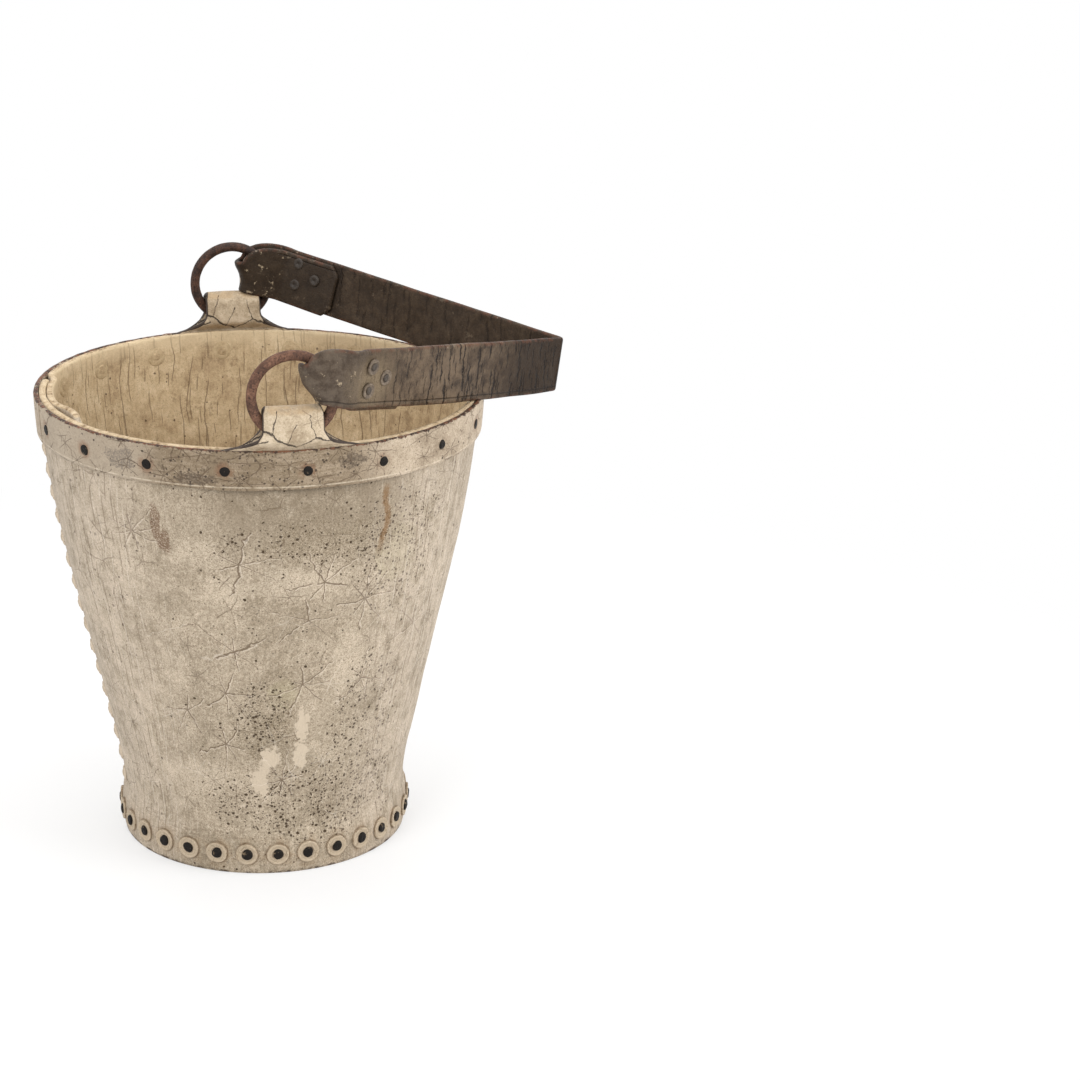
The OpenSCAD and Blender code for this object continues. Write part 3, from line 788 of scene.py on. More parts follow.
# Rim band: a strip of leather round the mouth that binds the top edge and holds the tabs down.
# Its ends are skived and lapped over the seam; every rivet draws it in a little.
band_thick = 0.003
band_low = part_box("rim_band")[0].z
band_lap = 9
rim_rivet_z = rim_z - (rim_z - band_low) * 0.53
rim_rivets = 18
rim_turn = 3.5
front_az = 270
back_az = 90


def band_lie(tree, size, angle, level):
    """Even in the middle; thinned at both ends, the last end over the first."""
    from_start = ((angle - (seam_az - band_lap)) / (2 * band_lap)).clamped()
    from_end = ((angle - (seam_az + 360 + band_lap)) / (-2 * band_lap)).clamped()
    full = size["Thickness"]
    thick = from_start.sum("MINIMUM", from_end) * (full - 0.0002) + 0.0002
    is_end = angle.rise(seam_az + 360 - band_lap - 0.2, seam_az + 360 - band_lap + 0.2)
    laid_down = thick / -2 - ply_gap
    laid_over = thick / 2 - full - ply_gap - (1 - from_end) * 0.00025
    round_rim = joined(tree, (angle * (math.pi / 180)).cos(), (angle * (math.pi / 180)).sin())
    wear = cloud(tree, round_rim, 0.07, detail=5.0, seed=31.0, rough=0.6) * size["Edge wear"]
    sway = (cloud(tree, round_rim, 0.35, detail=2.0, seed=32.0) - 0.5) * 0.0022
    pocket = tab_pocket(angle)

    def swell(seat, height, out):
        small = cloud(tree, seat, 0.012, detail=3.0, seed=33.0) - 0.5
        across = (((angle - front_az - rim_turn) * rim_rivets / 360 + 0.5).sum("FRACT") - 0.5)
        across = across * (2 * math.pi / rim_rivets) * (mouth_r + band_thick)
        upward = height - rim_rivet_z
        near = (across * across + upward * upward) ** 0.5
        drawn_in = near.fall(0.0032, 0.010) * size["Draw"]
        return (small * 0.0005 - drawn_in) * (out * 0.5 + 0.5)

    return {
        "thickness": thick - pocket * tab_bed, "low": sway + band_low + wear * 0.5, "high": rim_z - wear,
        "depth": laid_down * (1 - is_end) + laid_over * is_end - pocket * tab_bed / 2, "swell": swell,
    }


def band_paint():
    material, tree, place = new_finish("yellowed_band_paint")
    arc, z, x, y = round_bucket(tree, place)
    level = joined(tree, x / 9, y / 9, z)
    wide = cloud(tree, place, 40, detail=5.0, seed=41.0)
    middle = cloud(tree, place, 9, detail=5.0, seed=42.0, rough=0.65)
    fine = cloud(tree, place, 1.3, detail=3.0, seed=43.0, rough=0.6)
    speck = cloud(tree, place, 0.8, detail=2.0, seed=44.0, rough=0.7)
    smear = cloud(tree, level, 1.6, detail=4.0, seed=45.0, rough=0.6)
    colour = tones(
        tree, wide * 0.4 + middle * 0.7 + fine * 0.55 + smear * 0.15 - 0.42,
        (0.30, shade(146, 129, 108)), (0.45, shade(180, 163, 141)), (0.60, shade(202, 185, 163)),
        (0.78, shade(222, 206, 184)),
    )
    colour = blended(tree, speck.rise(0.50, 0.66) * 0.6, colour, shade(112, 94, 74))
    left = (1 - past(arc, 228, 240)) * past(arc, 180, 200)
    front = past(arc, 228, 240) * (1 - past(arc, 280, 300))
    grime = (smear * 0.35 + middle * 0.5 + fine * 0.35 - 0.10).rise(0.36, 0.54)
    grime = grime * (front * 0.9 + left * 0.4 + 0.12)
    colour = blended(tree, grime * 0.85, colour, shade(114, 97, 74))
    fleck = cloud(tree, place, 4.5, detail=6.0, seed=48.0, rough=0.78)
    dark_fleck = fleck.rise(0.54, 0.62) * (front * 0.75 + left * 0.2 + 0.12)
    colour = blended(tree, dark_fleck, colour, shade(84, 69, 54))
    colour = blended(tree, fleck.fall(0.34, 0.42) * (front * 0.3 + 0.15), colour, shade(210, 195, 172))
    pepper = pits(tree, place, 1.2, front * 0.5 + left * 0.15 + 0.12, 0.36)
    colour = blended(tree, pepper * 0.75, colour, shade(82, 67, 50))
    smudge = blot(tree, arc, z, place, 226, 291, 9, 8, 1.2, 5.0)
    smudge = smudge + blot(tree, arc, z, place, 285, 294, 8, 5, 1.4, 4.0)
    smudge = smudge + blot(tree, arc, z, place, 246, 284, 11, 4, 1.2, 5.0)
    colour = blended(tree, smudge * (fine.rise(0.36, 0.60) * 0.75 + 0.15), colour, shade(78, 66, 56))
    colour = blended(tree, left * 0.35, colour, shade(168, 156, 140))
    colour = blended(tree, front * 0.2, colour, shade(128, 111, 88))
    flakes = cloud(tree, place, 4.0, detail=5.0, seed=46.0, rough=0.7).rise(0.60, 0.68) * (front + 0.15)
    colour = blended(tree, flakes * 0.6, colour, shade(88, 64, 48))
    rivet_turn = arc / arc_per_degree - front_az - rim_turn
    beside_rivet = ((rivet_turn * rim_rivets / 360 + 0.5).sum("FRACT") - 0.5) * (360 / rim_rivets)
    beside_rivet = beside_rivet * band_arc_per_degree
    above_rivet = z - rim_rivet_z * 1000
    from_rivet = (beside_rivet * beside_rivet + above_rivet * above_rivet) ** 0.5
    halo = from_rivet.fall(3.2, 8.0) * middle.rise(0.40, 0.58)
    colour = blended(tree, halo * 0.65, colour, shade(122, 88, 64))
    cracked = star_cracks(tree, arc, z, 22.0, 0.85, 15.0, 0.22, 19.0)
    cracked = cracked + star_cracks(tree, arc, z, 15.0, 0.6, 10.0, 0.18, 29.0)
    colour = blended(tree, cracked.clamped() * 0.75, colour, shade(92, 74, 56))
    pitted = pits(tree, place, 2.2, front * 0.4 + 0.10, 0.7)
    colour = blended(tree, pitted * 0.85, colour, shade(60, 47, 37))
    torn = cloud(tree, place, 5, detail=5.0, seed=47.0, rough=0.7)
    low_crack = hair_lines(tree, z, arc, 7.0, 30.0, 0.35, 0.7, 25.0) * front
    colour = blended(tree, low_crack * 0.7, colour, shade(88, 70, 54))
    edge = (z - rim_z * 1000 + torn * 5.0 + (fine - 0.5) * 3.0).rise(0.9, 1.5)
    low_edge = z.fall(band_low * 1000 + 0.4, band_low * 1000 + 2.0) * torn.rise(0.52, 0.62)
    bare_leather = blended(tree, fleck.rise(0.44, 0.54), shade(118, 78, 56), shade(56, 40, 32))
    colour = blended(tree, edge, colour, bare_leather)
    colour = blended(tree, low_edge * 0.6, colour, shade(120, 102, 80))
    # A ridge of paint just above the band's lower edge, raised and with a painted highlight along it.
    raised = z.hump(band_low * 1000 + 1.6, band_low * 1000 + 2.4, band_low * 1000 + 3.2)
    raised = raised * torn.rise(0.36, 0.58)
    colour = blended(tree, raised * 0.5, colour, shade(226, 211, 188))
    height = (
        (fine - 0.5) * 0.25 + (smear - 0.5) * 0.25 + (middle - 0.5) * 0.5 - cracked * 0.2
        - pitted * 0.4 - edge * 0.45 + raised * 0.16
    )
    finish_surface(tree, colour, 0.6 + (fine - 0.5) * 0.35, height, gloss=0.3)
    return material


band = wrap_sheet("rim_binding", {
    "From angle": float(seam_az - band_lap), "Turn": float(360 + 2 * band_lap), "Steps round": 420,
    "Thickness": band_thick, "Crowding": 0.0, "Edge wear": 0.0014, "Draw": 0.0005,
}, band_lie, band_paint(), steps_up=16)
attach(band, "bucket")
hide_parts("rim_band")


# Tabs: each is one strip folded over its ring, flared like a skirt at the foot. Both plies are
# skived and go down between the band and the body, where the rim rivets hold them.
tab_top_w = 0.0372
tab_foot_w = 0.093
tab_thick = 0.003
tongue_thick = 0.0015
neck_rise = 0.0135
loop_mid = 0.0064
loop_foot = rim_z + 0.0075
loop_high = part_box("front_tab")[1].z - tab_thick - 0.0049
tongue_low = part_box("front_tab")[0].z


def thick_sheet(name, rows, thick, edge_along, edge_across, marks=None):
    """Gives a sheet of points its thickness, rounded to nothing at its four edges.
    thick is in metres for each row, and the edges are how far each row and column is from them."""
    points, faces, kept = [], [], {label: [] for label in marks or {}}
    high, wide = len(rows), len(rows[0])

    def rounding(row, column):
        radius = thick[row] / 2
        near = min(1.0, edge_along[row] / radius, edge_across[column] / radius)
        return (1 - (1 - near) ** 2.6) ** (1 / 2.6)

    for side in (1, -1):
        for i in range(high):
            for j in range(wide):
                down = rows[min(i + 1, high - 1)][j] - rows[max(i - 1, 0)][j]
                along = rows[i][min(j + 1, wide - 1)] - rows[i][max(j - 1, 0)]
                normal = down.cross(along).normalized()
                points.append(rows[i][j] + normal * side * thick[i] / 2 * rounding(i, j))
                for label, value in (marks or {}).items():
                    kept[label].append(value(i, j, side))
    for side in (0, 1):
        base_index = side * high * wide
        for i in range(high - 1):
            for j in range(wide - 1):
                a = base_index + i * wide + j
                quad = (a, a + wide, a + wide + 1, a + 1)
                faces.append(quad if side == 0 else quad[::-1])
    mesh = bpy.data.meshes.new(name)
    mesh.from_pydata(points, [], faces)
    for label, values in kept.items():
        mesh.attributes.new(label, "FLOAT", "POINT").data.foreach_set("value", values)
    closed_up(mesh)
    return mesh


def steps_between(length, edge, count):
    """Distances along a length, close together where the two edges are rounded."""
    close = [edge * share for share in (0, 0.04, 0.14, 0.32, 0.6)]
    even = [edge + (length - 2 * edge) * i / count for i in range(count + 1)]
    return close + even + [length - step for step in reversed(close)]


def tab_half_width(z):
    """Straight sides at the top and a quarter of an ellipse that flares to the foot."""
    if z >= rim_z + neck_rise:
        return tab_top_w / 2 - 0.0025 * max(0.0, (z - rim_z - 0.0225) / 0.005)
    if z <= rim_z - 0.0008:
        return tab_foot_w / 2
    share = (rim_z + neck_rise - z) / (neck_rise + 0.0008)
    return tab_foot_w / 2 - (tab_foot_w - tab_top_w) / 2 * math.sqrt(1 - share * share)


def tab_path():
    """The middle of the ply from the inner tongue over the ring to the outer one:
    (distance from the wall's outer face or ring line, height, thickness)."""
    path = []
    for i in range(9):
        z = tongue_low + (rim_z - tongue_low) * i / 8
        path.append((wall_r(z) + 0.0001, -tongue_thick / 2, z, tongue_thick * 0.96))
    for i in range(1, 15):
        share = i / 14
        z = rim_z + (loop_foot - rim_z) * share
        ease = share * share * (3 - 2 * share)
        spread = tongue_thick / 2 + (loop_mid - tongue_thick / 2) * ease
        path.append((mouth_r, -spread, z, tongue_thick + (tab_thick - tongue_thick) * share))
    for i in range(1, 9):
        path.append((mouth_r, -loop_mid, loop_foot + (loop_high - loop_foot) * i / 8, tab_thick))
    over = 14
    for i in range(1, over):
        turn = math.pi * i / over
        off, z = -loop_mid * math.cos(turn), loop_high + loop_mid * math.sin(turn)
        path.append((mouth_r, off, z, tab_thick))
    return path + [(r, -off, z, thick) for r, off, z, thick in reversed(path[:31])]


def tab_mesh(name, azimuth, seed):
    chance = random.Random(seed)
    waves = [
        (chance.uniform(60, 260), chance.uniform(0, 6.28), chance.uniform(0.2, 1.0)) for _ in range(7)
    ]
    path = tab_path()
    lengths = [0.0]
    for (r0, o0, z0, _), (r1, o1, z1, _) in zip(path, path[1:]):
        lengths.append(lengths[-1] + math.hypot(r1 + o1 - r0 - o0, z1 - z0))
    shares = [0, 0.004, 0.012, 0.03, 0.06] + [0.1 + 0.8 * i / 34 for i in range(35)]
    shares += [1 - s for s in (0.06, 0.03, 0.012, 0.004, 0)]
    outward = Vector((math.cos(math.radians(azimuth)), math.sin(math.radians(azimuth)), 0))
    aside = Vector((-outward.y, outward.x, 0))
    rows = []
    for (r, off, z, thick), far in zip(path, lengths):
        outer_ply = off > 0
        half = tab_half_width(z)
        free = min(1.0, max(0.0, (z - rim_z) / 0.006))
        row = []
        for share in shares:
            side = 2 * share - 1
            ragged = sum(w * math.sin(k * far + a + side * 2) for k, a, w in waves) * 0.0003 * free
            x = side * (half + ragged)
            belly = (0.0007 * math.cos(side * 2.4) + 0.0003 * math.sin(far * 210 + side * 3)) * free
            radius = r + off + belly * (1 if outer_ply else -1)
            x = max(-radius, min(radius, x))
            row.append(aside * x + outward * math.sqrt(radius * radius - x * x) + Vector((0, 0, z)))
        rows.append(row)
    thick = [p[3] for p in path]
    along = [min(far, lengths[-1] - far) for far in lengths]
    across = [min(s, 1 - s) * tab_top_w for s in shares]
    return thick_sheet(name, rows, thick, along, across, {
        "outer_ply": lambda i, j, side: float(path[i][1] * 1000),
        "from_edge": lambda i, j, side: across[j] * 1000,
        "face": lambda i, j, side: float(side),
    })


def crack_line(x, z, first, second, width):
    """1 on the line between two points and 0 beyond half the width from it."""
    run, rise = second[0] - first[0], second[1] - first[1]
    long = run * run + rise * rise
    share = (((x - first[0]) * run + (z - first[1]) * rise) / long).clamped()
    across, upward = x - first[0] - share * run, z - first[1] - share * rise
    return ((across * across + upward * upward) ** 0.5).fall(width * 0.35, width)


def tab_paint():
    material, tree, place = new_finish("tab_paint_over_leather")
    arc, z, x, _ = round_bucket(tree, place)
    wide = cloud(tree, place, 22, detail=5.0, seed=51.0)
    middle = cloud(tree, place, 6, detail=5.0, seed=52.0, rough=0.65)
    fine = cloud(tree, place, 1.0, detail=3.0, seed=53.0, rough=0.6)
    colour = tones(
        tree, wide * 0.5 + middle * 0.65 + fine * 0.45 - 0.33, (0.30, shade(156, 137, 112)),
        (0.48, shade(196, 178, 152)), (0.70, shade(224, 208, 186)),
    )
    top = loop_high * 1000 + 4.6
    worn_top = z.rise(top - 1.5, top + 1.0) * middle.rise(0.36, 0.6)
    colour = blended(tree, worn_top * 0.6, colour, shade(168, 138, 98))
    speck = cloud(tree, place, 0.8, detail=2.0, seed=54.0, rough=0.7)
    colour = blended(tree, speck.rise(0.56, 0.74) * 0.45, colour, shade(112, 94, 72))
    bent = x + (cloud(tree, place, 7, detail=5.0, seed=55.0, rough=0.75) - 0.5) * 6
    risen = z + (cloud(tree, place, 7, detail=5.0, seed=56.0, rough=0.75) - 0.5) * 6
    split = None
    for first, second, width in (
        ((-23, 319), (-14, 314.5), 0.9), ((-14, 314.5), (-5, 308), 0.8), ((-5, 308), (2, 305.5), 0.7),
        ((2, 305.5), (13, 312), 0.45), ((13, 312), (24, 308), 0.6), ((-10, 329), (-14, 314.5), 0.3),
        ((9, 326), (13, 312), 0.25), ((-5, 308), (1, 321), 0.2), ((-30, 306), (-16, 311), 0.5),
    ):
        crack = crack_line(bent, risen, first, second, width * (middle * 1.6 + 0.25))
        split = crack if split is None else split.sum("MAXIMUM", crack)
    hair = star_cracks(tree, arc, z, 17.0, 0.6, 11.0, 0.16, 33.0)
    colour = blended(tree, hair * 0.5, colour, shade(110, 90, 70))
    colour = blended(tree, split * 0.9, colour, shade(48, 38, 31))
    from_edge = named(tree, "from_edge")
    foot = z.fall(rim_z * 1000 + 3, rim_z * 1000 + 9)
    bare_edge = (from_edge - middle * (foot * 0.6 + 1.2)).fall(0.1, 0.5)
    colour = blended(tree, bare_edge, colour, shade(64, 52, 44))
    grime = (wide * 0.5 + middle * 0.6 - 0.05).rise(0.50, 0.66) * z.fall(top - 6, top - 16)
    colour = blended(tree, grime * 0.5, colour, shade(126, 108, 84))
    height = (fine - 0.5) * 0.4 + (middle - 0.5) * 1.0 - split * 0.9 - bare_edge * 0.35 - hair * 0.15
    finish_surface(tree, colour, 0.58 + (fine - 0.5) * 0.35, height, gloss=0.3)
    return material


tab_finish = tab_paint()
for tab_name, node_name, azimuth, tab_seed in (
    ("front_ring_tab", "front_tab", front_az, 3), ("back_ring_tab", "back_tab", back_az, 8),
):
    mesh = tab_mesh(tab_name, azimuth, tab_seed)
    mesh.materials.append(tab_finish)
    tab = new_piece(tab_name, mesh)
    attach(tab, "bucket")
    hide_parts(node_name)


# Rings: round iron wire bent and forge-welded into a ring, rusted brown and lightly pitted.
# The front one is redder and the back one darker.
ring_r = 0.0251
wire_r = 0.0032
ring_y = -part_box("front_ring")[0].y - wire_r
ring_z = (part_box("front_ring")[0].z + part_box("front_ring")[1].z) / 2


def forged_ring(name, sizes, material):
    tree, size, labels = sized_tree(name, sizes)
    path = add_node(tree, "GeometryNodeCurvePrimitiveCircle", {
        "Resolution": 128, "Radius": size["Ring radius"],
    })
    section = add_node(tree, "GeometryNodeCurvePrimitiveCircle", {
        "Resolution": 24, "Radius": size["Wire radius"],
    })
    tube = add_node(tree, "GeometryNodeCurveToMesh", {
        "Curve": path.outputs[0], "Profile Curve": section.outputs[0],
    })
    stood = add_node(tree, "GeometryNodeTransform", {
        "Geometry": tube.outputs[0], "Rotation": (math.pi / 2, 0, 0),
    })
    spot = add_node(tree, "GeometryNodeInputPosition").outputs[0]
    dented = cloud(tree, spot, 0.013, detail=2.0, seed=61.0) - 0.5
    scaly = cloud(tree, spot, 0.0022, detail=3.0, seed=62.0) - 0.5
    normal = add_node(tree, "GeometryNodeInputNormal").outputs[0]
    out = scaled(tree, normal, dented * size["Dents"] + scaly * size["Scale"])
    moved = add_node(tree, "GeometryNodeSetPosition", {
        "Geometry": stood.outputs[0], "Offset": out,
    })
    placed = add_node(tree, "GeometryNodeTransform", {
        "Geometry": moved.outputs[0], "Translation": joined(tree, 0.0, size["Along Y"], size["Height"]),
    })
    return grown(name, tree, labels, sizes, placed.outputs[0], material)


def rusted_iron(name, redness, seed):
    material, tree, place = new_finish(name)
    wide = cloud(tree, place, 14, detail=4.0, seed=seed)
    fine = cloud(tree, place, 1.1, detail=4.0, seed=seed + 1, rough=0.7)
    grain = cloud(tree, place, 4.0, detail=4.0, seed=seed + 2, rough=0.65)
    colour = tones(
        tree, wide * 0.4 + fine * 0.6 + grain * 0.5 - 0.26 + redness, (0.28, shade(46, 34, 29)),
        (0.45, shade(88, 62, 49)), (0.60, shade(128, 93, 74)), (0.78, shade(178, 146, 122)),
    )
    colour = blended(tree, pits(tree, place, 1.9, 0.35, 0.6) * 0.7, colour, shade(36, 26, 24))
    height = (fine - 0.5) * 0.4 + (grain - 0.5) * 0.5
    finish_surface(tree, colour, 0.62 + (fine - 0.5) * 0.4, height, gloss=0.22)
    return material


for ring_name, node_name, body_name, side, redness in (
    ("front_iron_ring", "front_ring", "ring_front", -1, -0.01),
    ("back_iron_ring", "back_ring", "ring_back", 1, -0.16),
):
    ring = forged_ring(ring_name, {
        "Ring radius": ring_r, "Wire radius": wire_r, "Along Y": side * ring_y, "Height": ring_z,
        "Dents": 0.0005, "Scale": 0.00022,
    }, rusted_iron(ring_name + "_rust", redness, 65.0 + side))
    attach(ring, body_name)
    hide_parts(node_name)


# Handle: one strap of harness leather. From its front end it runs back inside, folds round the
# ring, goes out to a crease in the middle and on to the other ring. Cracked, its edges worn red.
strap_thick = 0.0038
strap_wide = 0.036
strap_low = -0.001
strap_reach = 0.198
fold_mid = 0.0037 + strap_thick / 2
lead = ring_r + wire_r - 0.001
bend_r = 0.018
flap_lengths = {-1: 0.092, 1: 0.078}
flap_cut = 0.006
flap_hangs = {-1: 0.0030, 1: 0.0008}
flap_narrow = {-1: 0.15, 1: 0.03}
fold_slack = {-1: (0.0030, 0.0075, 0.0022), 1: (0.0120, 0.0020, 0.0030)}
end_drop = {-1: 0.0, 1: 0.0042}
edge_sag = {-1: 0.003, 1: 0.001}
edge_out = 0.0035
fold_from = -2.3
fold_sweep = 83.5
ply_pitch = strap_thick + ply_gap
v_angle = math.atan2(ring_y - bend_r, strap_reach - lead)
v_angle += math.asin(bend_r / math.hypot(ring_y - bend_r, strap_reach - lead))
bend_len = bend_r * v_angle
straight_len = math.sqrt((strap_reach - lead) ** 2 + (ring_y - bend_r) ** 2 - bend_r ** 2)
crease_r = 0.0035


def heading(s):
    return max(0.0, min(v_angle, (s - lead) / bend_r))


def beside(s, off):
    """A point on the front half of the strap's middle line, seen from above in the handle's frame."""
    turn = heading(s)
    x, y = lead + bend_r * math.sin(turn), bend_r - ring_y - bend_r * math.cos(turn)
    if s < lead:
        x, y = s, -ring_y
    beyond = max(0.0, s - lead - bend_len)
    x += beyond * math.cos(turn) + off * math.sin(turn)
    return x, y + beyond * math.sin(turn) - off * math.cos(turn)


def handle_drop():
    """How far the handle tips down from level to lie on the rim."""
    far = mouth_r + ply_gap + band_thick + strap_thick
    fx, fy = beside(lead + bend_len, 0)
    b = fx * math.cos(v_angle) + fy * math.sin(v_angle)
    rim_x = fx + (math.sqrt(b * b - fx * fx - fy * fy + far * far) - b) * math.cos(v_angle)
    rise = math.asin((ring_z - rim_z - 0.0006) / math.hypot(rim_x, strap_low))
    return math.atan2(strap_low, rim_x) + rise


drop = Matrix.Translation((0, 0, ring_z)) @ Matrix.Rotation(handle_drop(), 4, "Y")


def together(s):
    return (1 - math.cos(math.pi * max(0.0, min(1.0, (s - lead) / 0.014)))) / 2


def eased(start, leave, end, arrive, t):
    """A curve from start to end that leaves and arrives in the given directions."""
    h = (2 * t ** 3 - 3 * t ** 2 + 1, t ** 3 - 2 * t ** 2 + t, 3 * t ** 2 - 2 * t ** 3, t ** 3 - t ** 2)
    return start * h[0] + leave * h[1] + end * h[2] + arrive * h[3]


def strap_columns():
    return [strap_low + step for step in steps_between(strap_wide, strap_thick * 0.5, 20)]


def uneven(s, q):
    return 0.00035 * math.sin(s * 61 + q * 90) + 0.00022 * math.sin(s * 143 + 1.3 - q * 130)


def half_strap(side, columns):
    """Rows from a flap's end to the middle: each is (distance, ply, points across the strap).
    Ply is -1 on the flap, 0 on the fold and 1 on the outer ply."""
    rows = []
    flap = flap_lengths[side]
    whole = lead + bend_len + straight_len

    def row(s, ply, place):
        points = []
        for q in columns:
            x, y, z = place(q)
            share = (q - strap_low) / strap_wide
            z -= end_drop[side] * (1 - min(1.0, s / whole))
            out = max(0.0, min(1.0, (s - lead) / (whole - lead)))
            z -= edge_sag[side] * (1 - share) * math.sin(math.pi * out) ** 0.8
            x += edge_out * (1 - share) * out ** 3
            points.append(drop @ Vector((x, y if side < 0 else -y, z)))
        rows.append((s, ply, points))

    def on_flap(share):
        def place(q):
            near = min(q - strap_low, strap_low + strap_wide - q)
            end = flap - max(0.0, flap_cut - near)
            s = end + (lead - end) * share
            off = -fold_mid * (1 - together(s)) - ply_pitch * together(s) + uneven(s, q)
            narrowed = (q - strap_low) * flap_narrow[side]
            return (*beside(s, off), q - flap_hangs[side] * together(s) - narrowed)
        return place

    for near in (0, 0.0006, 0.0015, 0.003, 0.006):
        row(flap - near, -1, on_flap(near / (flap - lead)))
    for i in range(1, 33):
        share = 0.1 + 0.9 * i / 32
        row(flap + (lead - flap) * share, -1, on_flap(share))

    def on_fold(t, off, swing):
        def place(q):
            up = (q - strap_low) / strap_wide
            theta = math.radians(fold_from + fold_sweep * up)
            radial = Vector((math.cos(theta), math.sin(theta)))
            low, bulge, high = fold_slack[side]
            slack = low * (1 - up) + high * up + bulge * math.sin(math.pi * up)
            inward = (Vector((-1, 0)) * (1 - 0.45 * up * up) - radial * 0.45 * up * up).normalized()
            blunt = 1 - 0.4 * max(0.0, (up - 0.8) / 0.2) ** 2
            seat = radial * (ring_r - slack) + inward * fold_mid * swing * blunt
            lowered = (q - strap_low) * flap_narrow[side] * (1 - swing) if off > 0 else 0.0
            if t == 0:
                return (seat.x, -ring_y + off, seat.y - lowered)
            end = Vector((lead, q - lowered))
            seat.y -= lowered
            pull = (end - seat).length * 1.15
            spot = eased(seat, radial * pull, end, Vector((pull, 0)), t)
            return (spot.x, -ring_y + off, spot.y)
        return place

    for i in range(7, 0, -1):
        row(lead * i / 8, 0, on_fold(i / 8, fold_mid, 0))
    for i in range(17):
        turn = math.pi * (i / 16 - 0.5)
        row(0.0, 0, on_fold(0, -fold_mid * math.sin(turn), math.cos(turn)))
    for i in range(1, 8):
        row(lead * i / 8, 0, on_fold(i / 8, -fold_mid, 0))

    def on_outer(s):
        return lambda q: (*beside(s, fold_mid * (1 - together(s)) + uneven(s, q)), q)

    stop = lead + bend_len + straight_len - crease_r * math.tan(math.pi / 2 - v_angle)
    for i in range(91):
        s = lead + (stop - lead) * i / 90
        row(s, 1, on_outer(s))
    corner = Vector(beside(stop, 0))
    for i in range(1, 7):
        turn = v_angle + (math.pi / 2 - v_angle) * i / 6
        spin = (
            corner.x + crease_r * (math.sin(turn) - math.sin(v_angle)),
            corner.y - crease_r * (math.cos(turn) - math.cos(v_angle)),
        )
        row(stop + crease_r * (turn - v_angle), 1, lambda q, spin=spin: (*spin, q))
    return rows


def strap_mesh():
    columns = strap_columns()
    front = half_strap(-1, columns)
    back = half_strap(1, columns)
    rows = [(-1, *r) for r in front] + [(1, *r) for r in reversed(back[:-1])]
    lengths = [0.0]
    middle = len(columns) // 2
    for (_, _, _, first), (_, _, _, second) in zip(rows, rows[1:]):
        lengths.append(lengths[-1] + (second[middle] - first[middle]).length)
    along = [min(far, lengths[-1] - far) for far in lengths]
    across = [min(q - strap_low, strap_low + strap_wide - q) for q in columns]
    return thick_sheet("leather_strap", [r[3] for r in rows], [strap_thick] * len(rows), along, across, {
        "along": lambda i, j, side: rows[i][1] * 1000,
        "across": lambda i, j, side: (columns[j] - strap_low) * 1000,
        "ply": lambda i, j, side: float(rows[i][2]),
        "end": lambda i, j, side: float(rows[i][0]),
        "face": lambda i, j, side: float(side),
    })


